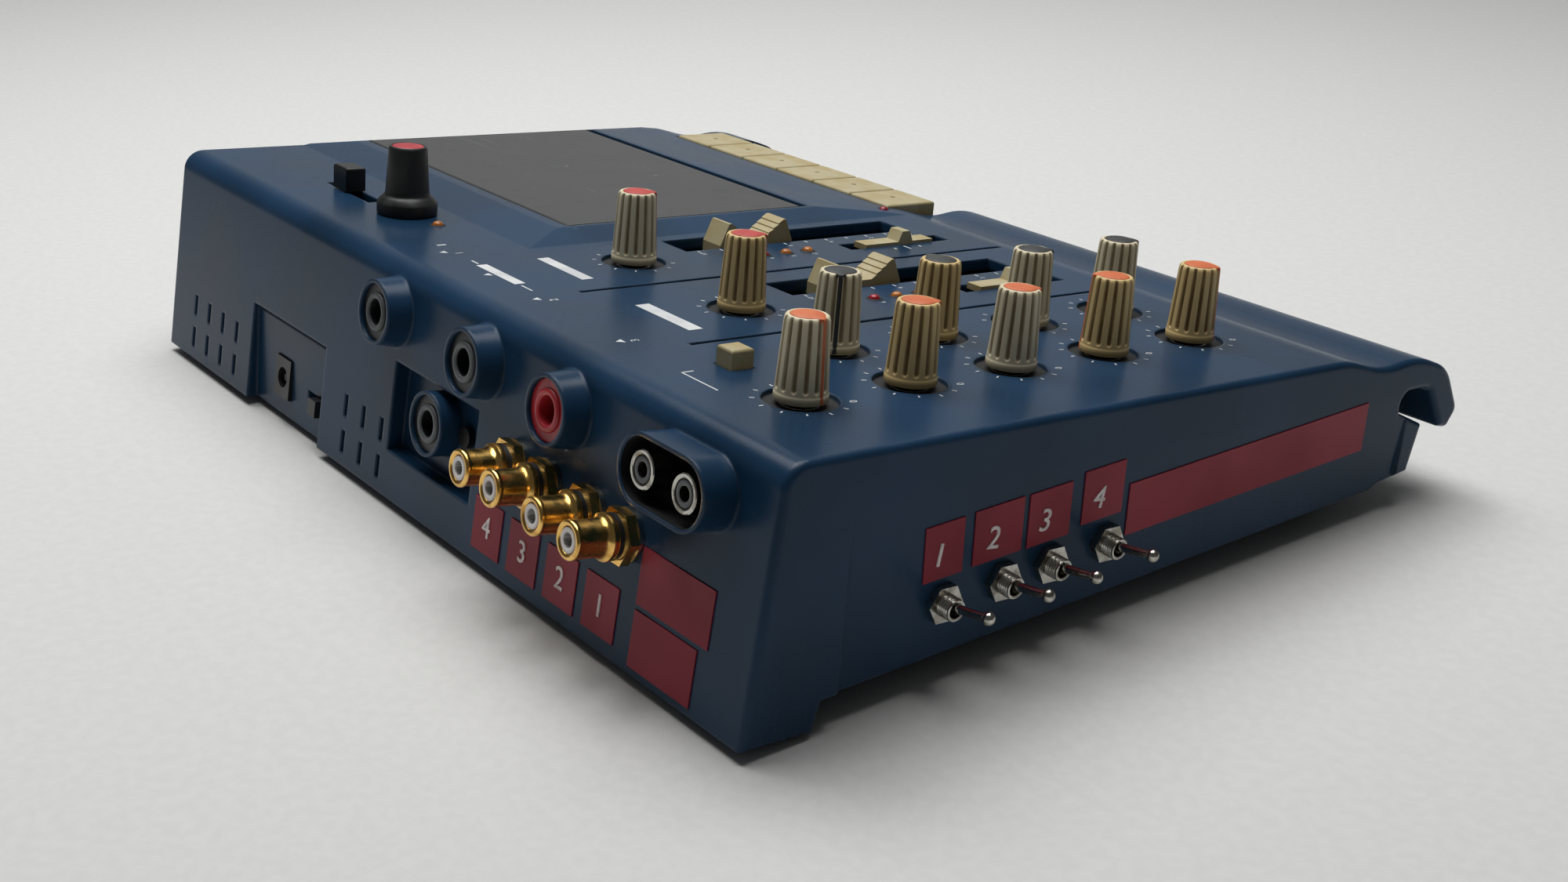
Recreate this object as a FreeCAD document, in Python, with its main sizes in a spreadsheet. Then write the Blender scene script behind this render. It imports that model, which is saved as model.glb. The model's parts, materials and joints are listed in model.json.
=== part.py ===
import FreeCAD, Part
import math
import os
import re

import Sketcher

# Portable cassette multitrack recorder, built as separate pieces.
#
# Panel frame: x runs from the user's left side to the right, y = 0 is the row of the rear
# knobs' reference line and the user sits towards -y, z = 0 is the top face of the control panel.
# Rear frame: x as above, y runs down the sloping rear wall from its top corner, z points out.
# Side frame: on the user's left side where its lower part starts to lean in; x runs towards the
# user, y up along the leaning face, z out.
# Level frame: x and y as seen from above, z up from the table.

Vector = FreeCAD.Vector
Rotation = FreeCAD.Rotation
Placement = FreeCAD.Placement

X_AXIS = Vector(1, 0, 0)
Y_AXIS = Vector(0, 1, 0)
Z_AXIS = Vector(0, 0, 1)

# Edges and faces this near to each other, in millimetres, count as one place
TOUCH = 0.01

# Driving sizes in millimetres, degrees where the name says so.
SIZES = {
    # Case: outline of the side, measured down and forward from the panel's reference line
    "wall": 2.5,
    "side_wall": 4.0,
    "panel_skin": 3.0,
    "past_face": 1.0,
    "rear_top_back": 11.2,
    "rear_foot_back": 17.1,
    "rear_drop": 59.4,
    "rear_rounding": 6.0,
    "post_foot_front": 1.1,
    "post_shoulder_front": 2.7,
    "post_top_front": 6.4,
    "side_drop_rear": 52.8,
    "side_front": 177.0,
    "side_drop_front": 36.1,
    "chin_front": 179.8,
    "chin_drop": 34.7,
    "nose_front": 190.7,
    "nose_drop": 33.0,
    "nose_top_front": 193.4,
    "nose_top_drop": 20.6,
    "side_recess": 2.0,
    "side_recess_top": 12.0,
    "table_gap": 7.4,
    # Wave and hooked lip along the front edge
    "wave_start": 158.7,
    "dip_front": 173.5,
    "dip_drop": 3.9,
    "crest_front": 187.0,
    "crest_drop": 2.0,
    "brow_front": 200.5,
    "brow_drop": 6.4,
    "lip_front": 207.9,
    "lip_drop": 18.1,
    "toe_front": 204.6,
    "toe_drop": 23.2,
    "hook_front": 200.8,
    "hook_drop": 22.4,
    "groove_front": 193.6,
    "groove_rear": 182.0,
    "groove_top_drop": 11.0,
    "heel_front": 183.0,
    "heel_drop": 16.4,
    "heel_chamfer": 1.5,
    "wave_rounding": 28.0,
    "brow_rounding": 11.0,
    "toe_rounding": 1.6,
    "lip_rounding": 3.0,
    "edge_rounding": 1.6,
    "groove_rounding": 3.5,
    # Raised deck round the cassette lid
    "deck_left": 161.0,
    "deck_slope": 9.0,
    "deck_rise": 2.5,
    "deck_rear_foot": 26.5,
    "deck_rear": 40.0,
    "deck_front": 128.0,
    "deck_front_low": 150.0,
    "deck_front_rise": 0.7,
    "deck_front_foot": 156.4,
    "deck_right_rise": 0.4,
    # Cassette lid and the well under it
    "lid_left": 171.5,
    "lid_width": 119.0,
    "lid_to_side": 11.5,
    "lid_rear": 44.0,
    "lid_depth": 79.4,
    "lid_thickness": 2.5,
    "lid_gap": 0.5,
    "finger_gap": 2.6,
    "hinge_radius": 0.8,
    "hinge_clearance": 0.06,
    "hinge_length": 2.0,
    "hinge_drop": 1.25,
    "tub_wall": 1.6,
    "tub_floor_drop": 16.4,
    "tub_floor": 1.6,
    "tub_flange": 3.0,
    "cassette_edge": 118.0,
    "reel_spacing": 42.5,
    "reel_from_edge": 35.5,
    # Transport
    "chassis_drop": 22.0,
    "chassis_plate": 1.2,
    "chassis_past_lid_left": 3.1,
    "chassis_past_lid_right": 1.5,
    "chassis_past_cassette": 24.0,
    "chassis_rear": 48.0,
    "ear_half_depth": 4.5,
    "ear_thickness": 1.6,
    "pillar_radius": 3.0,
    "sleeve_radius": 3.0,
    "sleeve_rise": 3.0,
    "hole_gap": 0.6,
    "shaft_clearance": 0.05,
    "spindle_radius": 1.5,
    "spindle_hub_radius": 3.6,
    "spindle_top_drop": 6.5,
    "spindle_foot_drop": 25.5,
    "spindle_disc_radius": 4.6,
    "spindle_rib": 1.2,
    "spindle_rib_reach": 4.6,
    "spindle_rib_set": 1.0,
    "capstan_radius": 1.0,
    "capstan_offset": 21.0,
    "capstan_from_edge": 4.6,
    "capstan_top_drop": 5.5,
    "flywheel_radius": 19.0,
    "flywheel_height": 5.0,
    "flywheel_drop": 25.2,
    "motor_x": 192.0,
    "motor_front": 62.0,
    "motor_radius": 12.5,
    "motor_height": 9.5,
    "motor_drop": 31.0,
    "motor_post_radius": 2.0,
    "motor_post_circle": 9.0,
    "pulley_radius": 3.2,
    "pulley_height": 4.3,
    "pulley_drop": 25.6,
    "pulley_shaft": 10.0,
    "bridge_travel": 4.5,
    "bridge_pin_radius": 1.2,
    "bridge_pin_from_middle": 19.0,
    "bridge_pin_past_cassette": 9.0,
    "bridge_drop": 19.6,
    "bridge_plate": 1.2,
    "bridge_width": 66.0,
    "bridge_past_cassette": 2.0,
    "bridge_depth": 11.5,
    "head_depth": 8.0,
    "head_past_cassette": 4.0,
    "head_width": 12.0,
    "head_height": 11.0,
    "erase_head_width": 7.0,
    "heads_apart": 2.0,
    "roller_radius": 5.5,
    "roller_height": 7.0,
    "roller_lift": 1.5,
    "window_depth": 6.0,
    "window_half_width": 31.0,
    # Transport keys
    "key_zone_rear": 156.8,
    "key_zone_floor_drop": 15.2,
    "key_zone_floor": 2.0,
    "key_zone_margin": 1.0,
    "key_zone_past_lid": 2.0,
    "key_zone_short_of_lid": 5.0,
    "key_count": 6,
    "key_gap": 0.9,
    "key_rear": 157.4,
    "key_front": 176.2,
    "key_top_rise": 0.6,
    "key_height": 7.6,
    "key_rounding": 0.8,
    "key_wall": 1.4,
    "key_arm_width": 6.0,
    "key_arm_height": 3.6,
    "key_pivot_drop": 9.0,
    "key_pivot_past_cassette": 19.5,
    "key_hub_radius": 2.7,
    "key_rod_radius": 1.5,
    # Knobs
    "knob_base_radius": 5.85,
    "knob_skirt": 1.6,
    "knob_foot_radius": 5.6,
    "knob_top_radius": 4.8,
    "knob_height": 18.2,
    "knob_dome": 0.7,
    "knob_rounding": 0.7,
    "knob_flutes": 14,
    "flute_radius": 0.85,
    "flute_depth": 0.55,
    "knob_gap": 0.5,
    "knob_rise": 0.2,
    "knob_bore_depth": 12.0,
    "knob_insert_radius": 3.7,
    "knob_insert": 1.0,
    "knob_insert_rise": 0.2,
    "shaft_radius": 3.0,
    "recess_radius": 8.35,
    "recess_depth": 1.0,
    "knob_column_level": 31.0,
    "knob_column_pan": 57.5,
    "knob_pitch": 30.0,
    "phones_knob_front": 15.4,
    "trim_front": 45.6,
    "trim_one_x": 93.4,
    "trim_two_x": 140.6,
    "pitch_knob_x": 206.8,
    "pitch_knob_front": 14.8,
    "pitch_skirt_radius": 8.2,
    "pitch_skirt": 3.8,
    "pitch_shoulder": 5.6,
    "pitch_foot_radius": 5.9,
    "pitch_top_radius": 5.2,
    "pitch_height": 18.6,
    # Faders, switches and lamps
    "groove_one_x": 72.8,
    "groove_two_x": 119.6,
    "groove_line_rear": 16.5,
    "groove_line_front": 156.0,
    "groove_line_width": 1.4,
    "groove_line_depth": 0.8,
    "fader_one_x": 104.3,
    "fader_two_x": 150.65,
    "fader_slot_width": 12.0,
    "fader_slot_rear": 65.0,
    "fader_slot_front": 142.5,
    "fader_cap_width": 8.0,
    "fader_cap_length": 24.4,
    "fader_cap_rear": 77.4,
    "fader_cap_rise": 5.9,
    "fader_cap_valley": 1.2,
    "fader_cap_drop": 3.0,
    "fader_cap_lean": 2.6,
    "fader_ridge": 0.8,
    "fader_valley_half": 2.4,
    "fader_steps": 4,
    "fader_step_lip": 0.35,
    "fader_stem_width": 1.6,
    "fader_stem_length": 8.0,
    "fader_travel_rear": 10.0,
    "fader_travel_front": 35.0,
    "switch_one_x": 87.6,
    "switch_two_x": 134.2,
    "switch_slot_width": 6.0,
    "switch_slot_rear": 110.8,
    "switch_slot_front": 146.5,
    "switch_cap_width": 5.2,
    "switch_cap_length": 24.4,
    "switch_cap_rise": 0.8,
    "switch_cap_front": 140.6,
    "switch_hump_length": 5.2,
    "switch_hump_rise": 3.7,
    "switch_hump_top": 2.6,
    "switch_hump_front": 2.1,
    "switch_travel": 4.8,
    "mono_x": 56.0,
    "mono_front": 16.6,
    "mono_side": 5.8,
    "mono_rise": 4.4,
    "mono_clearance": 0.35,
    "mono_skirt": 1.0,
    "mono_travel": 2.5,
    "speed_slot_left": 221.5,
    "speed_slot_right": 248.5,
    "speed_slot_rear": 10.4,
    "speed_slot_front": 14.6,
    "speed_cap_left": 234.0,
    "speed_cap_width": 8.0,
    "speed_cap_depth": 6.0,
    "speed_cap_rise": 7.0,
    "speed_cap_gap": 0.3,
    "speed_travel_left": 12.0,
    "speed_travel_right": 6.0,
    "lamp_radius": 1.5,
    "lamp_clearance": 0.2,
    "lamp_rise": 0.7,
    "lamp_length": 5.6,
    "lamp_first_front": 83.2,
    "lamp_spacing": 7.4,
    "lamp_beside_one_x": 88.4,
    "lamp_beside_two_x": 134.6,
    "record_lamp_x": 168.2,
    "record_lamp_front": 153.3,
    "power_lamp_x": 191.6,
    "power_lamp_front": 16.2,
    # Boards and their parts
    "board_drop": 13.0,
    "board_thickness": 1.6,
    "board_left": 18.0,
    "board_right": 158.0,
    "board_rear": 9.8,
    "board_front": 152.0,
    "board_arm_right": 262.0,
    "board_arm_front": 30.0,
    "pot_side": 9.6,
    "pot_height": 5.0,
    "bush_radius": 4.2,
    "bush_top_drop": 4.6,
    "shaft_foot_drop": 7.6,
    "fader_body_width": 14.0,
    "fader_body_height": 6.4,
    "fader_body_overhang": 3.0,
    "stem_clearance": 0.4,
    "switch_body_height": 6.0,
    "switch_body_margin": 1.0,
    "boss_radius": 2.6,
    "post_radius": 3.6,
    "screw_radius": 1.3,
    "screw_head_radius": 2.6,
    "screw_head": 1.8,
    "screw_length": 9.0,
    "screw_clearance": 0.2,
    "post_inset_x": 10.0,
    "post_rear_front": 8.0,
    "post_left_front": 152.0,
    "post_right_front": 150.0,
    "post_inner_x": 163.0,
    "post_inner_front": 146.0,
    "post_middle_x": 178.0,
    "post_middle_front": 36.0,
    "boss_rear_left_x": 44.0,
    "boss_rear_left_front": 30.0,
    "boss_front_left_front": 120.0,
    "boss_near_x": 80.0,
    "boss_between_x": 122.0,
    "boss_near_front": 140.0,
    "boss_rear_x": 120.0,
    "boss_rear_front": 25.0,
    "boss_arm_x": 180.0,
    "boss_arm_end_x": 256.0,
    "jack_board_out": 18.8,
    "jack_board_left": 17.0,
    "jack_board_right": 246.0,
    "jack_board_top": 5.0,
    "jack_board_foot": 45.5,
    # Rear wall: quarter inch jacks, twin line outputs, power inlet
    "jack_height": 12.3,
    "jack_one_x": 158.0,
    "jack_two_x": 113.0,
    "phones_jack_x": 75.5,
    "jack_three_x": 134.2,
    "jack_three_down": 34.0,
    "jack_bore_radius": 3.25,
    "jack_bore_depth": 17.5,
    "jack_nose_radius": 7.0,
    "jack_body_width": 15.0,
    "jack_body_height": 12.0,
    "collar_height": 6.5,
    "collar_clearance": 0.15,
    "collar_rim": 0.9,
    "collar_flare": 1.2,
    "jack_face_drop": 1.0,
    "pocket_left": 113.0,
    "pocket_right": 155.4,
    "pocket_top": 24.2,
    "pocket_foot": 47.4,
    "pocket_depth": 4.2,
    "pocket_screw_apart": 11.5,
    "pocket_collar_face": 2.0,
    "line_one_x": 20.7,
    "line_two_x": 35.5,
    "line_collar_height": 8.5,
    "line_collar_half": 6.9,
    "line_base_out": 2.0,
    "rca_radius": 4.15,
    "rca_bore_radius": 1.65,
    "rca_bore_depth": 11.0,
    "line_ring_length": 5.4,
    "line_shoulder": 0.4,
    "line_stem_radius": 3.6,
    "power_left": 194.6,
    "power_right": 242.0,
    "power_top": 31.8,
    "power_depth_top": 1.4,
    "power_depth_foot": 3.4,
    "power_groove_height": 1.1,
    "power_groove_depth": 1.5,
    "inlet_x": 223.0,
    "inlet_width": 9.2,
    "inlet_top": 42.8,
    "inlet_height": 11.2,
    "inlet_depth": 11.0,
    "inlet_face_in": 1.6,
    "inlet_bore_radius": 2.9,
    "inlet_pin_radius": 1.0,
    "power_switch_x": 202.3,
    "power_switch_down": 50.3,
    "power_window_width": 11.0,
    "power_window_height": 5.6,
    "power_cap_width": 4.6,
    "power_cap_height": 4.6,
    "power_cap_in": 0.0,
    "power_cap_depth": 6.1,
    "power_body_in": 6.2,
    "power_body_depth": 5.6,
    "power_body_width": 15.0,
    "power_body_height": 6.8,
    "power_travel": 4.0,
    "vent_width": 1.9,
    "vent_height": 6.0,
    "vent_pitch": 10.2,
    "vent_first_x": 283.2,
    "vent_second_x": 180.0,
    "vent_upper_top": 40.4,
    "vent_lower_top": 50.2,
    # Gold phono jacks added on the rear wall
    "rca_one_x": 47.2,
    "rca_two_x": 61.8,
    "rca_three_x": 79.9,
    "rca_four_x": 93.7,
    "rca_down": 31.0,
    "rca_stem_radius": 3.0,
    "rca_stem_inside": 9.0,
    "rca_washer_radius": 6.0,
    "rca_washer": 1.3,
    "rca_nut_flats": 11.2,
    "rca_nut": 2.4,
    "rca_ring_radius": 4.9,
    "rca_ring": 0.6,
    "rca_insulator_radius": 5.1,
    "rca_insulator": 1.1,
    "rca_flange_radius": 5.2,
    "rca_flange": 1.5,
    "rca_barrel": 8.4,
    "rca_core_radius": 2.75,
    "rca_core_recess": 0.3,
    # Toggle switches added on the user's left side
    "toggle_one_front": 33.1,
    "toggle_two_front": 49.7,
    "toggle_three_front": 63.5,
    "toggle_four_front": 80.4,
    "toggle_down": 37.3,
    "toggle_rise": 0.1055,
    "toggle_bush_radius": 2.4,
    "toggle_bush_bore": 1.8,
    "toggle_bush_out": 4.9,
    "toggle_hole_radius": 2.55,
    "toggle_nut_flats": 8.0,
    "toggle_nut": 1.9,
    "toggle_body_side": 8.0,
    "toggle_body_length": 12.8,
    "toggle_body_depth": 9.0,
    "toggle_body_inset": 3.5,
    "toggle_pivot_out": 1.9,
    "toggle_ball_radius": 1.6,
    "toggle_neck_radius": 1.1,
    "toggle_neck_end_radius": 0.85,
    "toggle_tip_radius": 1.45,
    "toggle_lever": 13.9,
    "toggle_rest_deg": 12.0,
    # Embossed label plates
    "plate_thickness": 0.3,
    "plate_side": 12.7,
    "plate_rear_top": 43.4,
    "plate_rear_one_x": 53.7,
    "plate_rear_pitch": 16.4,
    "plate_word_left": 15.2,
    "plate_word_right": 41.0,
    "plate_word_top": 31.2,
    "plate_word_two_left": 18.4,
    "plate_word_gap": 1.3,
    "plate_side_one_rear": 25.8,
    "plate_side_one_top": 19.5,
    "plate_side_one_width": 10.6,
    "plate_side_two_rear": 39.2,
    "plate_side_two_top": 18.1,
    "plate_side_two_width": 13.8,
    "plate_side_three_rear": 54.6,
    "plate_side_three_top": 16.8,
    "plate_side_three_width": 12.4,
    "plate_side_four_rear": 70.5,
    "plate_side_four_top": 14.2,
    "plate_side_four_width": 12.4,
    "plate_long_rear": 85.6,
    "plate_long_top": 19.4,
    "plate_long_length": 83.0,
    # Base
    "floor_inset": 0.8,
    "floor_thickness": 2.5,
    "floor_clearance": 0.3,
    "foot_radius": 6.5,
    "foot_flare": 1.0,
    "foot_inset_x": 22.0,
    "foot_rear": 22.0,
    "foot_front": 164.0,
}

# Sizes that follow from others, as formulas of the sheet
DERIVED = {
    "case_width": "lid_left + lid_width + lid_to_side",
    "chassis_left": "lid_left - chassis_past_lid_left",
    "chassis_right": "lid_left + lid_width + chassis_past_lid_right",
    "chassis_front": "cassette_edge + chassis_past_cassette",
    "window_left": "lid_left + lid_width / 2 - window_half_width",
    "window_right": "lid_left + lid_width / 2 + window_half_width",
    "key_zone_left": "lid_left - key_zone_past_lid",
    "key_zone_right": "lid_left + lid_width - key_zone_short_of_lid",
    "key_pitch": "(lid_width + key_zone_past_lid - key_zone_short_of_lid - 2 * key_zone_margin) / key_count",
    "key_width": "(lid_width + key_zone_past_lid - key_zone_short_of_lid - 2 * key_zone_margin) / key_count"
                 " - key_gap",
    "bridge_rear": "cassette_edge + bridge_past_cassette",
    "bridge_front": "cassette_edge + bridge_past_cassette + bridge_depth",
    "bridge_pin_front": "cassette_edge + bridge_pin_past_cassette",
    "head_face": "cassette_edge + head_past_cassette",
    "key_pivot_front": "cassette_edge + key_pivot_past_cassette",
}

doc = FreeCAD.newDocument("CassetteRecorder")
sheet = doc.addObject("Spreadsheet::Sheet", "Sizes")
for row, (alias, amount) in enumerate(SIZES.items(), start=1):
    sheet.set(f"A{row}", alias.replace("_", " "))
    sheet.set(f"B{row}", str(amount))
    sheet.setAlias(f"B{row}", alias)
doc.recompute()
for row, (alias, text) in enumerate(DERIVED.items(), start=len(SIZES) + 1):
    sheet.set(f"A{row}", alias.replace("_", " "))
    sheet.set(f"B{row}", "=" + text)
    sheet.setAlias(f"B{row}", alias)
doc.recompute()


# Helpers for formulas and features

def formula(text):
    """Writes sheet names in a formula the way expressions need them."""
    def named(match):
        word = match.group()
        return "Sizes." + word if word in SIZES or word in DERIVED else word
    return re.sub(r"[a-z][a-z0-9_]*", named, str(text))


def number(text):
    """Works out a formula of sheet names."""
    return float(sheet.evalExpression(formula(text)))


def vector(x, y, z):
    return Vector(number(x), number(y), number(z))


def locate(item, x, y, z, rotation=None):
    """Binds the base of an item's placement to formulas."""
    item.Placement = Placement(vector(x, y, z), rotation or Rotation())
    item.setExpression("Placement.Base.x", formula(x))
    item.setExpression("Placement.Base.y", formula(y))
    item.setExpression("Placement.Base.z", formula(z))
    return item


def box(name, across, along, up):
    """A block from three (from, to) pairs of formulas along x, y and z."""
    item = doc.addObject("Part::Box", name)
    item.setExpression("Length", formula(f"({across[1]}) - ({across[0]})"))
    item.setExpression("Width", formula(f"({along[1]}) - ({along[0]})"))
    item.setExpression("Height", formula(f"({up[1]}) - ({up[0]})"))
    return locate(item, across[0], along[0], up[0])


AXIS_TURNS = {
    "x": Rotation(Y_AXIS, 90),
    "y": Rotation(X_AXIS, -90),
    "z": Rotation(),
}


def rod(name, radius, x, y, z, length, axis="z"):
    """A cylinder that starts at a point and runs along x, y or z."""
    item = doc.addObject("Part::Cylinder", name)
    item.setExpression("Radius", formula(radius))
    item.setExpression("Height", formula(length))
    return locate(item, x, y, z, AXIS_TURNS[axis])


def cone(name, radius_low, radius_high, x, y, z, height):
    item = doc.addObject("Part::Cone", name)
    item.setExpression("Radius1", formula(radius_low))
    item.setExpression("Radius2", formula(radius_high))
    item.setExpression("Height", formula(height))
    return locate(item, x, y, z)


def hexagon(name, flats, x, y, z, height):
    item = doc.addObject("Part::Prism", name)
    item.Polygon = 6
    item.setExpression("Circumradius", formula(f"({flats}) / 2 / cos(30deg)"))
    item.setExpression("Height", formula(height))
    return locate(item, x, y, z)


def ball(name, radius, x, y, z):
    item = doc.addObject("Part::Sphere", name)
    item.setExpression("Radius", formula(radius))
    return locate(item, x, y, z)


def fuse(name, *shapes):
    item = doc.addObject("Part::MultiFuse", name)
    item.Shapes = list(shapes)
    return item


def cut(name, base, *tools):
    item = doc.addObject("Part::Cut", name)
    item.Base = base
    item.Tool = tools[0] if len(tools) == 1 else fuse(name + "_tools", *tools)
    return item


def common(name, first, second):
    item = doc.addObject("Part::Common", name)
    item.Base = first
    item.Tool = second
    return item


def group(name, *items):
    item = doc.addObject("Part::Compound", name)
    item.Links = list(items)
    return item


def copy_at(name, original, x, y, z, rotation=None):
    """The same form again at another place."""
    return locate(group(name, original), x, y, z, rotation)


def carried(item, frame):
    """Moves an item with a frame; its place is a worked out one from then on."""
    for axis in "xyz":
        item.setExpression(f"Placement.Base.{axis}", None)
    item.Placement = frame.multiply(item.Placement)
    return item


def new_body(name):
    body = doc.addObject("PartDesign::Body", name)
    planes = {feature.Role: feature for feature in body.Origin.OriginFeatures}
    return body, planes


def new_sketch(body, plane, name, offset="0"):
    sketch = body.newObject("Sketcher::SketchObject", name)
    sketch.AttachmentSupport = (plane, [""])
    sketch.MapMode = "FlatFace"
    sketch.setExpression("AttachmentOffset.Base.z", formula(offset))
    return sketch


def add_outline(sketch, corners):
    """A closed outline of straight edges whose corners are bound to formulas."""
    places = [(number(across), number(up)) for across, up in corners]
    count = len(places)
    for index in range(count):
        start = Vector(*places[index], 0)
        end = Vector(*places[(index + 1) % count], 0)
        sketch.addGeometry(Part.LineSegment(start, end), False)
    for index in range(count):
        sketch.addConstraint(Sketcher.Constraint("Coincident", index, 2, (index + 1) % count, 1))
    for index, (across, up) in enumerate(corners):
        for kind, text, amount in (("DistanceX", across, places[index][0]),
                                   ("DistanceY", up, places[index][1])):
            constraint = Sketcher.Constraint(kind, -1, 1, index, 1, amount)
            constraint_index = sketch.addConstraint(constraint)
            name = f"{kind[-1].lower()}_{index}"
            sketch.renameConstraint(constraint_index, name)
            sketch.setExpression(f"Constraints.{name}", formula(text))


def prism(name, plane, corners, start, length):
    """A body padded from one closed outline: plane YZ pads along +x, XZ along -y, XY along +z."""
    body, planes = new_body(name)
    sketch = new_sketch(body, planes[plane + "_Plane"], name + "_outline", start)
    add_outline(sketch, corners)
    pad = body.newObject("PartDesign::Pad", name + "_pad")
    pad.Profile = sketch
    pad.setExpression("Length", formula(length))
    return body


def turning(name, corners):
    """A body turned about z from a half profile of (radius, height) corners."""
    body, planes = new_body(name)
    sketch = new_sketch(body, planes["XZ_Plane"], name + "_profile")
    add_outline(sketch, corners)
    spin = body.newObject("PartDesign::Revolution", name + "_turning")
    spin.Profile = sketch
    spin.ReferenceAxis = (sketch, ["V_Axis"])
    spin.Angle = 360
    return body


def edges_at(shape, places, tolerance=TOUCH):
    """Names of the edges along x that lie at the given (y, z) places."""
    names = []
    for index, edge in enumerate(shape.Edges, start=1):
        ends = [vertex.Point for vertex in edge.Vertexes]
        if len(ends) != 2 or abs(ends[0].x - ends[1].x) < tolerance:
            continue
        for y, z in places:
            if all(math.hypot(end.y - y, end.z - z) < tolerance for end in ends):
                names.append(f"Edge{index}")
    return names


def round_edges(body, name, edges, radius):
    """Rounds named edges of a body's last feature."""
    base = body.Tip
    fillet = body.newObject("PartDesign::Fillet", name)
    fillet.Base = (base, edges)
    fillet.setExpression("Radius", formula(radius))
    body.Tip = fillet
    doc.recompute()


def round_along_x(body, name, places, radius):
    """Rounds the long edges of a body that lie at the given (y, z) formulas."""
    doc.recompute()
    spots = [(number(y), number(z)) for y, z in places]
    round_edges(body, name, edges_at(body.Tip.Shape, spots), radius)


# Frames

tilt_deg = math.degrees(math.atan2(
    number("side_drop_rear - side_drop_front"), number("side_front - post_shoulder_front")))
lean_deg = math.degrees(math.atan2(
    number("rear_foot_back - rear_top_back"), number("rear_drop")))
tilt = Rotation(X_AXIS, tilt_deg)
edge_corner = vector("0", "-post_shoulder_front", "-side_drop_rear")
panel_height = number("table_gap") - tilt.multVec(edge_corner).z

PANEL = Placement()
WORLD = Placement(Vector(0, 0, panel_height), tilt)
LEVEL = WORLD.inverse()
REAR = Placement(vector("0", "rear_top_back", "0"), Rotation(X_AXIS, lean_deg - 90))
FLARE = math.atan2(number("side_recess"), number("side_drop_rear - side_recess_top"))
SIDE = Placement(vector("0", "0", "-side_recess_top"), Rotation(
    Vector(0, -1, 0), Vector(-math.sin(FLARE), 0, math.cos(FLARE)),
    Vector(-math.cos(FLARE), 0, -math.sin(FLARE)), "ZXY"))

pieces = {}


def piece(label, item, frame=PANEL, base=None, rotation=None):
    """Names one separate piece of the object and puts it into place."""
    own = Placement(base or Vector(), rotation or Rotation())
    carried(item, WORLD.multiply(frame).multiply(own))
    item.Label = label
    pieces[label] = item
    return item


def slab(name, across, front, up):
    """A block in the panel frame: x span, distances towards the user, heights."""
    return box(name, across, (f"-({front[1]})", f"-({front[0]})"), up)


def profile(*points):
    """Corners given as (distance towards the user, height) for a prism along x."""
    return [(f"-({front})", height) for front, height in points]


# Case: top cover

FLOOR_SLOPE = "((side_drop_rear - side_drop_front) / (side_front - post_shoulder_front))"


def floor_low(front):
    """Height of the floor's underside at a distance towards the user."""
    return f"(floor_inset - side_drop_rear + ({front} - post_shoulder_front) * {FLOOR_SLOPE})"


def floor_top(front):
    return f"({floor_low(front)} + floor_thickness)"


LIP = {
    "wave": profile(("wave_start", "0"), ("dip_front", "-dip_drop"), ("crest_front", "-crest_drop")),
    "brow": profile(("brow_front", "-brow_drop")),
    "lip": profile(("lip_front", "-lip_drop")),
    "toe": profile(("toe_front", "-toe_drop"), ("hook_front", "-hook_drop")),
    "groove": profile(("groove_front", "-groove_top_drop"), ("groove_rear", "-groove_top_drop")),
}
REAR_TOP = profile(("-rear_top_back", "0"))

outline = (
    REAR_TOP
    + profile(
        ("-rear_foot_back", "-rear_drop"),
        ("post_foot_front", "-rear_drop"),
        ("post_shoulder_front", "-side_drop_rear"),
        ("side_front", "-side_drop_front"),
        ("chin_front", "-chin_drop"),
        ("nose_front", "-nose_drop"),
        ("nose_top_front", "-nose_top_drop"),
        ("heel_front", "-heel_drop"))
    + LIP["groove"][::-1]
    + LIP["toe"][::-1]
    + LIP["lip"] + LIP["brow"]
    + LIP["wave"][::-1]
)
shell = prism("case_outline", "YZ", outline, "0", "case_width")
round_along_x(shell, "rear_corner_rounding", REAR_TOP, "rear_rounding")
for part_of_lip, corners in LIP.items():
    round_along_x(shell, part_of_lip + "_edge_rounding", corners, part_of_lip + "_rounding")


def end_edges(shape, lowest):
    """Edges of both end faces that lie wholly above a height."""
    ends = (0, number("case_width"))
    names = []
    for index, edge in enumerate(shape.Edges, start=1):
        bounds = edge.BoundBox
        on_end = any(abs(bounds.XMin - end) < TOUCH and abs(bounds.XMax - end) < TOUCH for end in ends)
        if on_end and bounds.ZMin > lowest:
            names.append(f"Edge{index}")
    return names


below_all = number("-rear_drop - past_face")
round_edges(shell, "end_rounding", end_edges(shell.Tip.Shape, below_all), "edge_rounding")

cavity_outline = profile(
    ("wall - rear_top_back", "-panel_skin"),
    ("wall - rear_foot_back", "-rear_drop - wall"),
    ("nose_front - wall", "-rear_drop - wall"),
    ("nose_front - wall", "-nose_drop"),
    ("nose_top_front - wall", "-nose_top_drop - wall"),
    ("groove_rear - wall", "-heel_drop - wall - past_face"),
    ("groove_rear - wall", "-dip_drop - panel_skin"),
    ("dip_front", "-dip_drop - panel_skin"),
    ("wave_start - panel_skin", "-panel_skin"))
cavity = prism("case_cavity", "YZ", cavity_outline, "side_wall", "case_width - 2 * side_wall")

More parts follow.
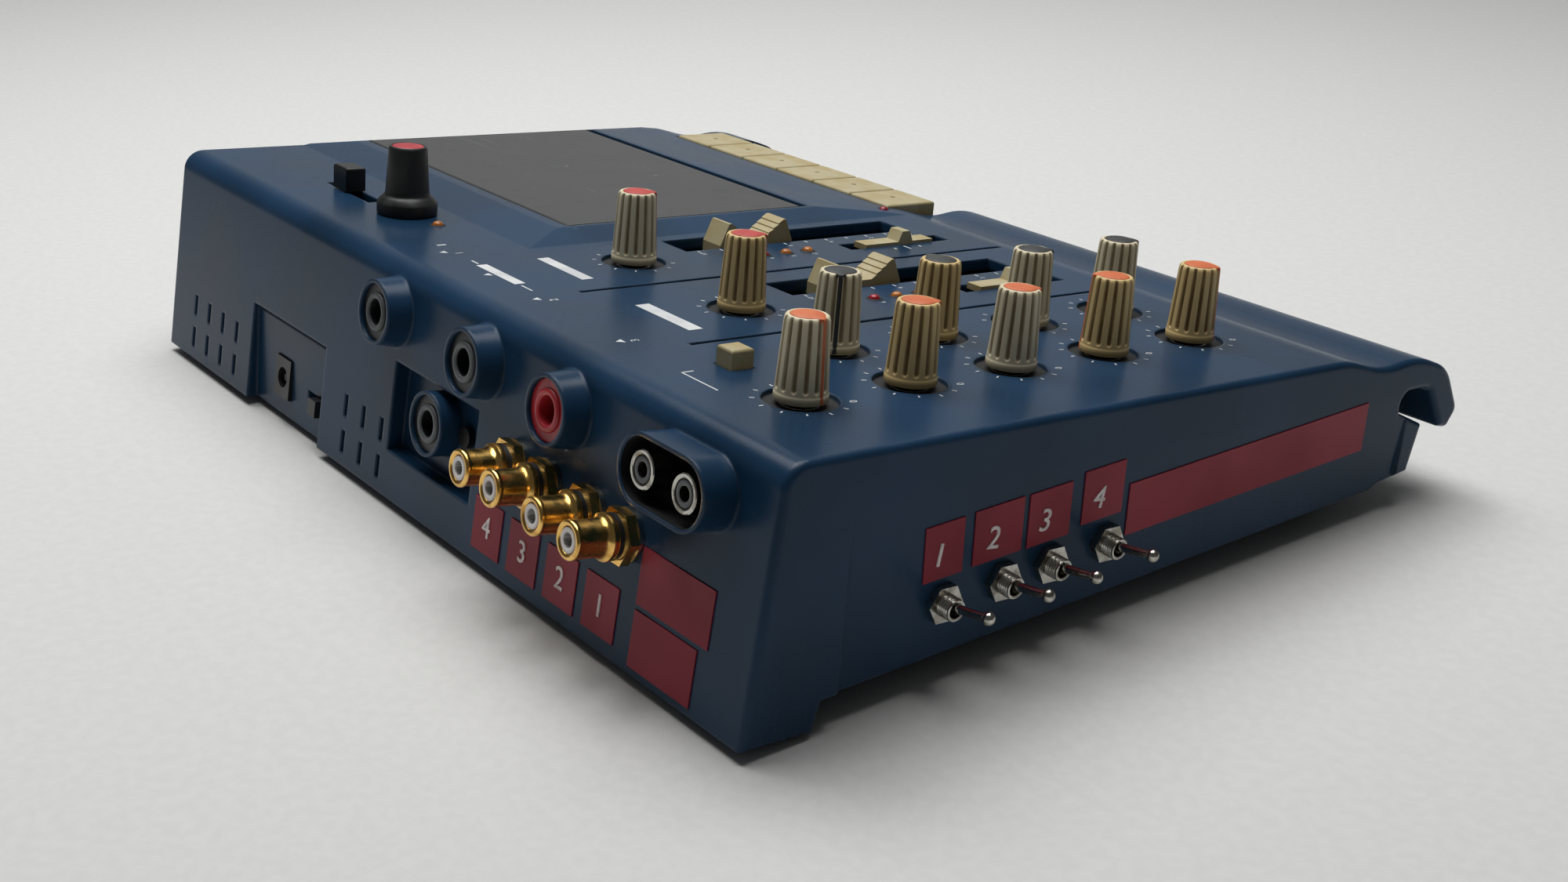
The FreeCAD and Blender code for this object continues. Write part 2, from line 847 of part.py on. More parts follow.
deck_long = prism("deck_long_section", "YZ", profile(
    ("deck_rear_foot", "-wall"),
    ("deck_rear_foot", "0"),
    ("deck_rear", "deck_rise"),
    ("deck_front", "deck_rise"),
    ("deck_front_low", "deck_front_rise"),
    ("deck_front_foot", "0"),
    ("deck_front_foot", "-wall")), "deck_left", "case_width - deck_left - edge_rounding")
deck_cross = prism("deck_cross_section", "XZ", [
    ("deck_left", "-wall"),
    ("deck_left", "0"),
    ("deck_left + deck_slope", "deck_rise"),
    ("lid_left + lid_width + lid_gap", "deck_rise"),
    ("case_width - edge_rounding", "deck_right_rise"),
    ("case_width - edge_rounding", "-wall")], "deck_rear_foot", "deck_front_foot - deck_rear_foot")
deck = common("deck", deck_long, deck_cross)

# Posts that the case screws hold, and bosses that carry the main board
SCREW_POSTS = (
    ("post_inset_x", "post_rear_front"),
    ("case_width - post_inset_x", "post_rear_front"),
    ("post_inset_x", "post_left_front"),
    ("case_width - post_inset_x", "post_right_front"),
    ("post_inner_x", "post_inner_front"),
    ("post_middle_x", "post_middle_front"))
BOARD_BOSSES = (
    ("boss_rear_left_x", "boss_rear_left_front"),
    ("boss_rear_left_x", "boss_front_left_front"),
    ("boss_near_x", "boss_near_front"),
    ("boss_between_x", "boss_near_front"),
    ("boss_rear_x", "boss_rear_front"),
    ("boss_arm_x", "boss_rear_front"),
    ("boss_arm_end_x", "boss_rear_front"))

posts = cut(
    "screw_posts",
    fuse("screw_post_rods", *[
        rod(f"screw_post_{index}", "post_radius", x, f"-{front}", "-rear_drop", "rear_drop - panel_skin / 2")
        for index, (x, front) in enumerate(SCREW_POSTS)]),
    prism("under_floor", "YZ", profile(
        ("-rear_foot_back", "-rear_drop - wall"),
        ("-rear_foot_back", floor_top("-rear_foot_back")),
        ("nose_front", floor_top("nose_front")),
        ("nose_front", "-rear_drop - wall")), "0", "case_width"))
bosses = [
    rod(f"board_boss_{index}", "boss_radius", x, f"-{front}", "-board_drop", "board_drop - panel_skin / 2")
    for index, (x, front) in enumerate(BOARD_BOSSES)]

# Floor and cheeks of the key zone
key_floor = slab("key_zone_bed", ("key_zone_left - key_zone_floor", "key_zone_right + key_zone_floor"),
                 ("key_zone_rear", "heel_front + past_face"),
                 ("-key_zone_floor_drop - key_zone_floor", "-key_zone_floor_drop"))
cheeks = [
    slab("key_zone_cheek_left", ("key_zone_left - key_zone_floor", "key_zone_left"),
         ("key_zone_rear", "groove_rear"), ("-key_zone_floor_drop", "-panel_skin / 2 - dip_drop")),
    slab("key_zone_cheek_right", ("key_zone_right", "key_zone_right + key_zone_floor"),
         ("key_zone_rear", "groove_rear"), ("-key_zone_floor_drop", "-panel_skin / 2 - dip_drop"))]
key_notch = prism("key_notch", "YZ", profile(
    ("key_zone_rear", "deck_rise"),
    ("key_zone_rear", "-key_zone_floor_drop"),
    ("heel_front - heel_chamfer", "-key_zone_floor_drop"),
    ("heel_front", "-heel_drop - knob_gap / 2"),
    ("nose_top_front", "-nose_top_drop - knob_gap / 2"),
    ("nose_top_front + wall", "-toe_drop - wall"),
    ("lip_front + wall", "-toe_drop - wall"),
    ("lip_front + wall", "deck_rise")), "key_zone_left", "key_zone_right - key_zone_left")


# Rear wall features, built in the rear frame and then turned into the panel frame

def on_rear(item):
    """Turns a form from the rear frame into the panel frame."""
    return carried(item, REAR)


def stadium(name, radius, start, length):
    """An upright oval block round both line output centres."""
    left = rod(name + "_left", radius, "line_one_x", "jack_height", start, length)
    right = rod(name + "_right", radius, "line_two_x", "jack_height", start, length)
    middle = box(name + "_middle", ("line_one_x", "line_two_x"),
                 (f"jack_height - ({radius})", f"jack_height + ({radius})"), (start, f"{start} + {length}"))
    return fuse(name, left, right, middle)


COLLARED_JACKS = {"jack_one": "jack_one_x", "jack_two": "jack_two_x", "phones": "phones_jack_x"}
collars = []
collar_bores = []
for name, x in COLLARED_JACKS.items():
    collars.append(cone(
        name + "_collar", "jack_nose_radius + collar_clearance + collar_rim + collar_flare",
        "jack_nose_radius + collar_clearance + collar_rim", x, "jack_height", "-wall",
        "collar_height + wall"))
    collar_bores.append(rod(name + "_collar_bore", "jack_nose_radius + collar_clearance", x, "jack_height",
                            "-2 * wall", "collar_height + 3 * wall"))
line_collar = stadium("line_collar", "line_collar_half + collar_rim", "-wall", "line_collar_height + wall")
line_well = stadium("line_well", "line_collar_half", "line_base_out", "line_collar_height")
line_holes = [
    rod(f"line_hole_{x}", "line_stem_radius + collar_clearance", x, "jack_height", "-2 * wall", "6 * wall")
    for x in ("line_one_x", "line_two_x")]

pocket_block = box("pocket_block", ("pocket_left - wall", "pocket_right + wall"),
                   ("pocket_top - wall", "pocket_foot + wall"), ("-pocket_depth - wall", "-wall / 2"))
pocket_collar = rod("pocket_collar", "jack_nose_radius + collar_clearance + collar_rim", "jack_three_x",
                    "jack_three_down", "-pocket_depth - wall", "pocket_collar_face + pocket_depth + wall")
pocket_hollow = cut(
    "pocket_hollow",
    box("pocket_hollow_block", ("pocket_left", "pocket_right"), ("pocket_top", "pocket_foot"),
        ("-pocket_depth", "wall")),
    rod("pocket_collar_room", "jack_nose_radius + collar_clearance + collar_rim", "jack_three_x",
        "jack_three_down", "-pocket_depth - wall", "pocket_depth + 3 * wall"))
pocket_bore = rod("pocket_bore", "jack_nose_radius + collar_clearance", "jack_three_x", "jack_three_down",
                  "-pocket_depth - 2 * wall", "pocket_depth + pocket_collar_face + 3 * wall")
POCKET_SCREWS = ("jack_three_x - pocket_screw_apart", "jack_three_x + pocket_screw_apart")
pocket_screw_holes = [
    rod(f"pocket_screw_hole_{index}", "screw_radius + shaft_clearance", x, "jack_three_down",
        "-pocket_depth - 2 * wall", "3 * wall")
    for index, x in enumerate(POCKET_SCREWS)]

power_block = prism("power_block", "YZ", [
    ("power_top - wall", "-wall / 2"),
    ("power_top - wall", "-power_depth_top - wall"),
    ("rear_drop", "-power_depth_foot - wall"),
    ("rear_drop", "-wall / 2")], "power_left - wall", "power_right - power_left + 2 * wall")
power_hollow = prism("power_hollow", "YZ", [
    ("power_top", "wall"),
    ("power_top", "-power_depth_top"),
    ("rear_drop + wall", "-power_depth_foot"),
    ("rear_drop + wall", "wall")], "power_left", "power_right - power_left")
power_groove = box("power_groove", ("power_left", "power_right"),
                   ("power_top", "power_top + power_groove_height"),
                   ("-power_depth_top - power_groove_depth", "wall"))
inlet_hole = box("inlet_hole", ("inlet_x - inlet_width / 2 - collar_clearance",
                                "inlet_x + inlet_width / 2 + collar_clearance"),
                 ("inlet_top - collar_clearance", "inlet_top + inlet_height + collar_clearance"),
                 ("-power_depth_foot - 2 * wall", "wall"))
power_window = box("power_window", ("power_switch_x - power_window_width / 2",
                                    "power_switch_x + power_window_width / 2"),
                   ("power_switch_down - power_window_height / 2",
                    "power_switch_down + power_window_height / 2"),
                   ("-power_depth_foot - 2 * wall", "wall"))
vents = [
    box(f"vent_{first}_{step}_{top}",
        (f"{first} - {step} * vent_pitch - vent_width / 2",
         f"{first} - {step} * vent_pitch + vent_width / 2"),
        (top, f"{top} + vent_height"), ("-2 * wall", "wall"))
    for first, steps in (("vent_first_x", 4), ("vent_second_x", 3))
    for step in range(steps)
    for top in ("vent_upper_top", "vent_lower_top")]
PHONO = {"one": "rca_one_x", "two": "rca_two_x", "three": "rca_three_x", "four": "rca_four_x"}
phono_holes = [
    rod(f"phono_hole_{name}", "rca_stem_radius + collar_clearance", x, "rca_down", "-2 * wall", "3 * wall")
    for name, x in PHONO.items()]

rear_added = on_rear(fuse("rear_added", *collars, line_collar, pocket_block, pocket_collar, power_block))
rear_removed = on_rear(fuse(
    "rear_removed", *collar_bores, line_well, *line_holes, pocket_hollow, pocket_bore,
    *pocket_screw_holes, power_hollow, power_groove, inlet_hole, power_window, *vents, *phono_holes))

# Left side: the lean of both sides and the four switch holes
TOGGLES = ("toggle_one_front", "toggle_two_front", "toggle_three_front", "toggle_four_front")


def toggle_height(front):
    """Height of a toggle switch in the side frame."""
    return f"(side_recess_top - toggle_down + toggle_rise * ({front} - toggle_one_front))"


side_leans = []
for name, edge, foot in (("left", "0", "side_recess"), ("right", "case_width", "case_width - side_recess")):
    outer = "-wall" if name == "left" else "case_width + wall"
    side_leans.append(prism(f"lean_{name}", "XZ", [
        (edge, "-side_recess_top"),
        (foot, "-side_drop_rear"),
        (outer, "-side_drop_rear"),
        (outer, "-side_recess_top")], "post_top_front", "nose_front - post_top_front - 2 * wall"))
toggle_holes = fuse("toggle_holes", *[
    rod(f"hole_{front}", "toggle_hole_radius", front, toggle_height(front), "-2 * side_wall",
        "3 * side_wall")
    for front in TOGGLES])
carried(toggle_holes, SIDE)

# Panel: recesses, slots, grooves, lamp holes, lid opening
LEVEL_ROWS = [f"phones_knob_front + {step} * knob_pitch" for step in range(1, 5)]
KNOBS = {"phones_knob": ("knob_column_level", "phones_knob_front")}
KNOBS.update({f"level_knob_{row}": ("knob_column_level", front) for row, front in enumerate(LEVEL_ROWS, 1)})
KNOBS.update({f"pan_knob_{row}": ("knob_column_pan", front) for row, front in enumerate(LEVEL_ROWS, 1)})
KNOBS["trim_knob_1"] = ("trim_one_x", "trim_front")
KNOBS["trim_knob_2"] = ("trim_two_x", "trim_front")
PITCH_KNOB = ("pitch_knob_x", "pitch_knob_front")

knob_recesses = []
for name, (x, front) in {**KNOBS, "pitch_knob": PITCH_KNOB}.items():
    knob_recesses.append(rod(name + "_hole", "shaft_radius + knob_gap", x, f"-({front})", "-2 * panel_skin",
                             "3 * panel_skin"))
    if name != "pitch_knob":
        knob_recesses.append(rod(name + "_recess", "recess_radius", x, f"-({front})", "-recess_depth",
                                 "panel_skin"))

grooves = [
    slab(f"groove_{x}", (f"{x} - groove_line_width / 2", f"{x} + groove_line_width / 2"),
         ("groove_line_rear", "groove_line_front"), ("-groove_line_depth", "panel_skin"))
    for x in ("groove_one_x", "groove_two_x")]
FADERS = ("fader_one_x", "fader_two_x")
SWITCHES = ("switch_one_x", "switch_two_x")


def panel_slot(name, x, width, rear, front):
    return slab(name, (f"{x} - {width} / 2", f"{x} + {width} / 2"), (rear, front),
                ("-2 * panel_skin", "panel_skin"))


slots = [panel_slot(f"slot_{x}", x, "fader_slot_width", "fader_slot_rear", "fader_slot_front")
         for x in FADERS]
slots += [panel_slot(f"slot_{x}", x, "switch_slot_width", "switch_slot_rear", "switch_slot_front")
          for x in SWITCHES]
slots.append(slab("speed_slot", ("speed_slot_left", "speed_slot_right"),
                  ("speed_slot_rear", "speed_slot_front"), ("-2 * panel_skin", "panel_skin")))
slots.append(panel_slot("mono_hole", "mono_x", "(mono_side + 2 * mono_clearance)",
                        "mono_front - mono_side / 2 - mono_clearance",
                        "mono_front + mono_side / 2 + mono_clearance"))

LAMPS = {
    f"lamp_{side}_{step}": (x, f"lamp_first_front + {step} * lamp_spacing")
    for side, x in (("one", "lamp_beside_one_x"), ("two", "lamp_beside_two_x"))
    for step in range(3)}
LAMPS["record_lamp"] = ("record_lamp_x", "record_lamp_front")
LAMPS["power_lamp"] = ("power_lamp_x", "power_lamp_front")
lamp_holes = [
    rod(name + "_hole", "lamp_radius + lamp_clearance", x, f"-({front})", "-2 * panel_skin",
        "4 * panel_skin")
    for name, (x, front) in LAMPS.items()]

lid_opening = slab("lid_opening", ("lid_left - lid_gap", "lid_left + lid_width + lid_gap"),
                   ("lid_rear - lid_gap", "lid_rear + lid_depth + finger_gap"),
                   ("-2 * panel_skin", "2 * deck_rise"))
HINGE_FRONT = "(lid_rear + hinge_drop)"
HINGE_HEIGHT = "(deck_rise - hinge_drop)"
hinge_bore = rod("hinge_bore", "hinge_radius + hinge_clearance",
                 "lid_left - lid_gap - hinge_length", f"-{HINGE_FRONT}", HINGE_HEIGHT,
                 "lid_width + 2 * (lid_gap + hinge_length)", "x")
screw_pilots = [
    rod(f"screw_pilot_{index}", "screw_radius + shaft_clearance", x, f"-{front}", floor_low(front),
        "screw_length + floor_thickness")
    for index, (x, front) in enumerate(SCREW_POSTS)]

cover = cut(
    "cover_form",
    fuse("cover_solid", cut("cover_shell", shell, cavity), deck, posts, *bosses, key_floor, *cheeks,
         rear_added),
    key_notch, rear_removed, *side_leans, toggle_holes, *knob_recesses, *grooves, *slots, *lamp_holes,
    lid_opening, hinge_bore, *screw_pilots)
piece("top_cover", cover)

# Bottom case, feet and case screws

INSIDE = ("side_wall + floor_clearance", "case_width - 2 * (side_wall + floor_clearance)")
floor_form = prism("floor_form", "YZ", profile(
    ("wall - rear_foot_back + 3 * floor_clearance", "floor_inset - rear_drop"),
    ("post_foot_front - floor_clearance", "floor_inset - rear_drop"),
    ("post_shoulder_front", floor_low("post_shoulder_front")),
    ("side_front", floor_low("side_front")),
    ("nose_front - wall - floor_clearance", "floor_inset - nose_drop"),
    ("nose_front - wall - floor_clearance", "floor_inset - nose_drop + floor_thickness"),
    ("side_front", floor_top("side_front")),
    ("post_shoulder_front + floor_thickness", floor_top("post_shoulder_front + floor_thickness")),
    ("post_foot_front - floor_clearance - floor_thickness", "floor_inset - rear_drop + floor_thickness"),
    ("wall - rear_foot_back + 3 * floor_clearance", "floor_inset - rear_drop + floor_thickness")),
    *INSIDE)
floor_holes = []
case_screws = []
for index, (x, front) in enumerate(SCREW_POSTS):
    seat = f"{floor_low(front)} + screw_head / 2"
    floor_holes.append(rod(f"floor_hole_{index}", "screw_radius + screw_clearance", x, f"-{front}",
                           floor_low(front), "2 * floor_thickness"))
    floor_holes.append(rod(f"floor_seat_{index}", "screw_head_radius + screw_clearance", x, f"-{front}",
                           f"{floor_low(front)} - floor_thickness", "floor_thickness + screw_head / 2"))
    case_screws.append(fuse(
        f"case_screw_{index}",
        rod(f"screw_head_{index}", "screw_head_radius", x, f"-{front}", f"{seat} - screw_head",
            "screw_head"),
        rod(f"screw_shank_{index}", "screw_radius", x, f"-{front}", seat, "screw_length")))
floor_holes.append(on_rear(box(
    "power_notch", ("power_left - wall - floor_clearance", "power_right + wall + floor_clearance"),
    ("power_top", "rear_drop + 2 * wall"), ("-power_depth_foot - wall - floor_clearance", "wall"))))
piece("bottom_case", cut("bottom_form", floor_form, *floor_holes))

FOOT_HEIGHT = f"(table_gap + floor_inset * cos(atan({FLOOR_SLOPE})))"
piece("rubber_feet", group("feet_form", *[
    cone(f"foot_{index}", "foot_radius", "foot_radius + foot_flare", x, y, 0, FOOT_HEIGHT)
    for index, (x, y) in enumerate((
        ("foot_inset_x", "-foot_rear"), ("case_width - foot_inset_x", "-foot_rear"),
        ("foot_inset_x", "-foot_front"), ("case_width - foot_inset_x", "-foot_front")))]), LEVEL)


for index, x in enumerate(POCKET_SCREWS):
    case_screws.append(on_rear(fuse(
        f"pocket_screw_{index}",
        rod(f"pocket_head_{index}", "screw_head_radius", x, "jack_three_down", "-pocket_depth",
            "screw_head"),
        rod(f"pocket_shank_{index}", "screw_radius", x, "jack_three_down",
            "-pocket_depth - screw_length / 2", "screw_length / 2"))))
piece("case_screws", group("case_screws_form", *case_screws))

# Cassette lid and well

LID_RIGHT = "lid_left + lid_width"
piece("cassette_lid", fuse(
    "lid_form",
    slab("lid_plate", ("lid_left", LID_RIGHT), (HINGE_FRONT, "lid_rear + lid_depth"),
         ("deck_rise - lid_thickness", "deck_rise")),
    rod("lid_knuckle", "hinge_drop", "lid_left", f"-{HINGE_FRONT}", HINGE_HEIGHT, "lid_width", "x"),
    rod("lid_pins", "hinge_radius", "lid_left - lid_gap - hinge_length + lid_gap / 2", f"-{HINGE_FRONT}",
        HINGE_HEIGHT, "lid_width + 2 * hinge_length + lid_gap", "x")))

REEL_FRONT = "(cassette_edge - reel_from_edge)"
MIDDLE = "(lid_left + lid_width / 2)"
REELS = {"supply": f"({MIDDLE} - reel_spacing / 2)", "takeup": f"({MIDDLE} + reel_spacing / 2)"}
CAPSTAN = (f"({MIDDLE} + capstan_offset)", "(cassette_edge - capstan_from_edge)")
TUB_UNDER = "(tub_floor_drop + tub_floor)"
TUB_ACROSS = ("lid_left - lid_gap + floor_clearance", f"{LID_RIGHT} + lid_gap - floor_clearance")
TUB_FRONT = ("lid_rear - lid_gap + floor_clearance", "lid_rear + lid_depth + finger_gap - floor_clearance")


def grown(span, amount):
    """A (from, to) pair of formulas made larger at both ends."""
    return (f"{span[0]} - ({amount})", f"{span[1]} + ({amount})")


pillars = [
    rod(f"pillar_{index}", "pillar_radius", x, f"-({front})", "-chassis_drop", f"chassis_drop - {TUB_UNDER}")
    for index, (x, front) in enumerate((
        ("lid_left + 3 * pillar_radius", "chassis_rear + 2 * pillar_radius"),
        (f"{LID_RIGHT} - 3 * pillar_radius", "chassis_rear + 2 * pillar_radius"),
        ("lid_left + 3 * pillar_radius", "(lid_rear + lid_depth - 2 * pillar_radius)"),
        (f"{LID_RIGHT} - 3 * pillar_radius", "(lid_rear + lid_depth - 2 * pillar_radius)")))]
well_holes = [
    rod(f"well_hole_{name}", "spindle_hub_radius + hole_gap", x, f"-{REEL_FRONT}",
        f"-{TUB_UNDER} - tub_floor", "3 * tub_floor")
    for name, x in REELS.items()]
well_holes.append(rod("well_hole_capstan", "sleeve_radius + hole_gap", CAPSTAN[0], f"-{CAPSTAN[1]}",
                      f"-{TUB_UNDER} - tub_floor", "3 * tub_floor"))
piece("cassette_well", cut(
    "well_form",
    fuse("well_solid",
         slab("well_outside", TUB_ACROSS, TUB_FRONT, (f"-{TUB_UNDER}", "-floor_clearance")),
         slab("well_flange", grown(TUB_ACROSS, "tub_flange"), grown(TUB_FRONT, "tub_flange"),
              ("-panel_skin - tub_wall", "-panel_skin")),
         *pillars),
    slab("well_inside", grown(TUB_ACROSS, "-tub_wall"), grown(TUB_FRONT, "-tub_wall"),
         ("-tub_floor_drop", "tub_wall")),
    slab("well_window", ("window_left", "window_right"), ("cassette_edge - window_depth",
         f"{TUB_FRONT[1]} + tub_wall"), (f"-{TUB_UNDER} - tub_floor", "-panel_skin - 2 * tub_wall")),
    *well_holes))

# Transport under the well

PLATE_FOOT = "(chassis_drop + chassis_plate)"
ear_span = ("key_pivot_front - ear_half_depth", "key_pivot_front + ear_half_depth")
ear_rise = (f"-{PLATE_FOOT}", "ear_half_depth - key_pivot_drop")
key_rod = rod("key_rod", "key_rod_radius", "chassis_left", "-key_pivot_front", "-key_pivot_drop",
              "chassis_right - chassis_left", "x")
sleeves = [
    rod(f"sleeve_{name}", "sleeve_radius", x, f"-{front}", f"-{PLATE_FOOT}", "sleeve_rise")
    for name, x, front in (("supply", REELS["supply"], REEL_FRONT), ("takeup", REELS["takeup"], REEL_FRONT),
                           ("capstan", *CAPSTAN))]
bearing_bores = [
    rod("supply_bore", "spindle_radius + shaft_clearance", REELS["supply"], f"-{REEL_FRONT}",
        f"-2 * {PLATE_FOOT}", f"2 * {PLATE_FOOT}"),
    rod("takeup_bore", "spindle_radius + shaft_clearance", REELS["takeup"], f"-{REEL_FRONT}",
        f"-2 * {PLATE_FOOT}", f"2 * {PLATE_FOOT}"),
    rod("capstan_bore", "capstan_radius + shaft_clearance", CAPSTAN[0], f"-{CAPSTAN[1]}",
        f"-2 * {PLATE_FOOT}", f"2 * {PLATE_FOOT}")]
BRIDGE_PINS = (
    f"({MIDDLE} - bridge_pin_from_middle)",
    f"({MIDDLE} + bridge_pin_from_middle - 4 * bridge_pin_radius)")
pin_slots = [
    slab(f"pin_slot_{index}", (f"{x} - bridge_pin_radius - shaft_clearance * 3",
                               f"{x} + bridge_pin_radius + shaft_clearance * 3"),
         ("bridge_pin_front - bridge_travel - bridge_pin_radius - knob_gap",
          "bridge_pin_front + bridge_pin_radius + knob_gap"),
         (f"-{PLATE_FOOT} - chassis_plate", "chassis_plate - chassis_drop"))
    for index, x in enumerate(BRIDGE_PINS)]
piece("transport_chassis", fuse(
    "chassis_form",
    cut("chassis_solid",
        fuse("chassis_plates",
             slab("chassis_deck", ("chassis_left", "chassis_right"), ("chassis_rear", "chassis_front"),
                  (f"-{PLATE_FOOT}", "-chassis_drop")),
             slab("ear_left", ("chassis_left", "chassis_left + ear_thickness"), ear_span, ear_rise),
             slab("ear_right", ("chassis_right - ear_thickness", "chassis_right"), ear_span, ear_rise),
             *sleeves),
        *bearing_bores, *pin_slots),
    key_rod))

motor_posts = [
    rod(f"motor_post_{index}", "motor_post_radius",
        f"motor_x + motor_post_circle * cos({turn}deg)", f"motor_post_circle * sin({turn}deg) - motor_front",
        "-motor_drop", f"motor_drop - {PLATE_FOOT}")
    for index, turn in enumerate((90, 210, 330))]
piece("drive_motor", cut(
    "motor_form",
    fuse("motor_solid",
         rod("motor_can", "motor_radius", "motor_x", "-motor_front", "-motor_drop - motor_height",
             "motor_height"),
         *motor_posts),
    rod("motor_bore", "capstan_radius + shaft_clearance", "motor_x", "-motor_front",
        "-pulley_drop - pulley_shaft - knob_gap", "pulley_shaft")))
piece("motor_pulley", fuse(
    "pulley_form",
    rod("pulley_wheel", "pulley_radius", "motor_x", "-motor_front", "-pulley_drop - pulley_height",
        "pulley_height"),
    rod("pulley_axle", "capstan_radius", "motor_x", "-motor_front", "-pulley_drop - pulley_shaft",
        "pulley_shaft")))
piece("capstan_flywheel", fuse(
    "flywheel_form",
    rod("flywheel_disc", "flywheel_radius", CAPSTAN[0], f"-{CAPSTAN[1]}",
        "-flywheel_drop - flywheel_height", "flywheel_height"),
    rod("capstan_shaft", "capstan_radius", CAPSTAN[0], f"-{CAPSTAN[1]}",
        "-flywheel_drop - flywheel_height", "flywheel_drop + flywheel_height - capstan_top_drop")))

RIB_TURNS = (0, 120, 240)
for name, x in REELS.items():
    ribs = [
        carried(box(f"{name}_rib_{turn}", (0, "spindle_rib_reach"), ("-spindle_rib / 2", "spindle_rib / 2"),
                    ("floor_clearance - tub_floor_drop", "-spindle_top_drop - spindle_rib_set")),
                Placement(Vector(), Rotation(Z_AXIS, turn)))
        for turn in RIB_TURNS]
    piece(f"{name}_spindle", fuse(
        f"{name}_spindle_form",
        rod(f"{name}_hub", "spindle_hub_radius", 0, 0, f"-{TUB_UNDER}", f"{TUB_UNDER} - spindle_top_drop"),
        rod(f"{name}_shaft", "spindle_radius", 0, 0, "-spindle_foot_drop",
            "spindle_foot_drop - tub_floor_drop"),
        rod(f"{name}_disc", "spindle_disc_radius", 0, 0, "-spindle_foot_drop", "hinge_length"),
        *ribs), base=vector(x, f"-{REEL_FRONT}", "0"))

BRIDGE_TOP = "(bridge_drop - bridge_plate)"
ROLLER_FRONT = f"({CAPSTAN[1]} + capstan_radius + roller_radius + bridge_travel + screw_clearance)"
piece("head_bridge", fuse(
    "bridge_form",
    slab("bridge_deck", (f"{MIDDLE} - bridge_width / 2", f"{MIDDLE} + bridge_width / 2"),
         ("bridge_rear", "bridge_front"), ("-bridge_drop", f"-{BRIDGE_TOP}")),
    rod("roller_axle", "capstan_radius", CAPSTAN[0], f"-{ROLLER_FRONT}", f"-{BRIDGE_TOP}",
        "roller_lift + roller_height + past_face"),
    *[rod(f"bridge_pin_{index}", "bridge_pin_radius", x, "-bridge_pin_front",
          "-chassis_drop - 2 * chassis_plate", "chassis_drop + 2 * chassis_plate - bridge_drop")
      for index, x in enumerate(BRIDGE_PINS)]))
piece("tape_head", slab(
    "tape_head_form", (f"{MIDDLE} - head_width / 2", f"{MIDDLE} + head_width / 2"),
    ("head_face", "head_face + head_depth"), (f"-{BRIDGE_TOP}", f"head_height - {BRIDGE_TOP}")))
ERASE_X = f"({MIDDLE} - head_width / 2 - erase_head_width - heads_apart)"
piece("erase_head", slab(
    "erase_head_form", (f"{ERASE_X} - erase_head_width / 2", f"{ERASE_X} + erase_head_width / 2"),
    ("head_face", "head_face + head_depth"), (f"-{BRIDGE_TOP}", f"head_height - {BRIDGE_TOP}")))
piece("pinch_roller", cut(
    "roller_form",
    rod("roller_tyre", "roller_radius", CAPSTAN[0], f"-{ROLLER_FRONT}", f"roller_lift - {BRIDGE_TOP}",
        "roller_height"),
    rod("roller_bore", "capstan_radius + shaft_clearance", CAPSTAN[0], f"-{ROLLER_FRONT}",
        f"-{BRIDGE_TOP}", "2 * roller_height")))

# Transport keys


def top_edges(shape):
    """Edges that lie in the top face."""
    top = shape.BoundBox.ZMax
    return [f"Edge{index}" for index, edge in enumerate(shape.Edges, start=1)
            if edge.BoundBox.ZMin > top - TOUCH]


def soft_block(name, across, front, up, radius):
    """A block in the panel frame whose top edges are rounded."""
    body = prism(name, "XY", [
        (across[0], f"-({front[1]})"), (across[1], f"-({front[1]})"),
        (across[1], f"-({front[0]})"), (across[0], f"-({front[0]})")], up[0], f"({up[1]}) - ({up[0]})")
    doc.recompute()
    round_edges(body, name + "_rounding", top_edges(body.Tip.Shape), radius)
    return body


ARM_HALF = "key_arm_width / 2"
ARM_UP = ("-key_pivot_drop - key_arm_height / 2", "key_arm_height / 2 - key_pivot_drop")
key_form = cut(
    "key_form",
    fuse("key_solid",
         cut("key_cap_shell",
             soft_block("key_cap", ("-key_width / 2", "key_width / 2"), ("key_rear", "key_front"),
                        ("key_top_rise - key_height", "key_top_rise"), "key_rounding"),
             slab("key_cap_hollow", ("key_wall - key_width / 2", "key_width / 2 - key_wall"),
                  ("key_rear + key_wall", "key_front - key_wall"),
                  ("key_top_rise - 2 * key_height", "key_top_rise - key_wall"))),
         slab("key_riser", (f"-{ARM_HALF}", ARM_HALF), ("key_rear", "(key_rear + key_front) / 2 + key_wall"),
              (ARM_UP[0], "key_top_rise - key_wall / 2")),
         slab("key_arm", (f"-{ARM_HALF}", ARM_HALF), ("key_pivot_front", "key_rear + key_wall"), ARM_UP),
         rod("key_hub", "key_hub_radius", f"-{ARM_HALF}", "-key_pivot_front", "-key_pivot_drop",
             "key_arm_width", "x")),
    rod("key_bore", "key_rod_radius + shaft_clearance", "-key_width", "-key_pivot_front", "-key_pivot_drop",
        "2 * key_width", "x"))
KEYS = ("record_key", "play_key", "rewind_key", "forward_key", "stop_key", "pause_key")
for index, label in enumerate(KEYS):
    middle = f"(key_zone_left + key_zone_right) / 2 + ({index} - (key_count - 1) / 2) * key_pitch"
    piece(label, copy_at(label + "_copy", key_form, 0, 0, 0), base=vector(middle, "0", "0"))

# Knobs: cap, coloured insert and shaft


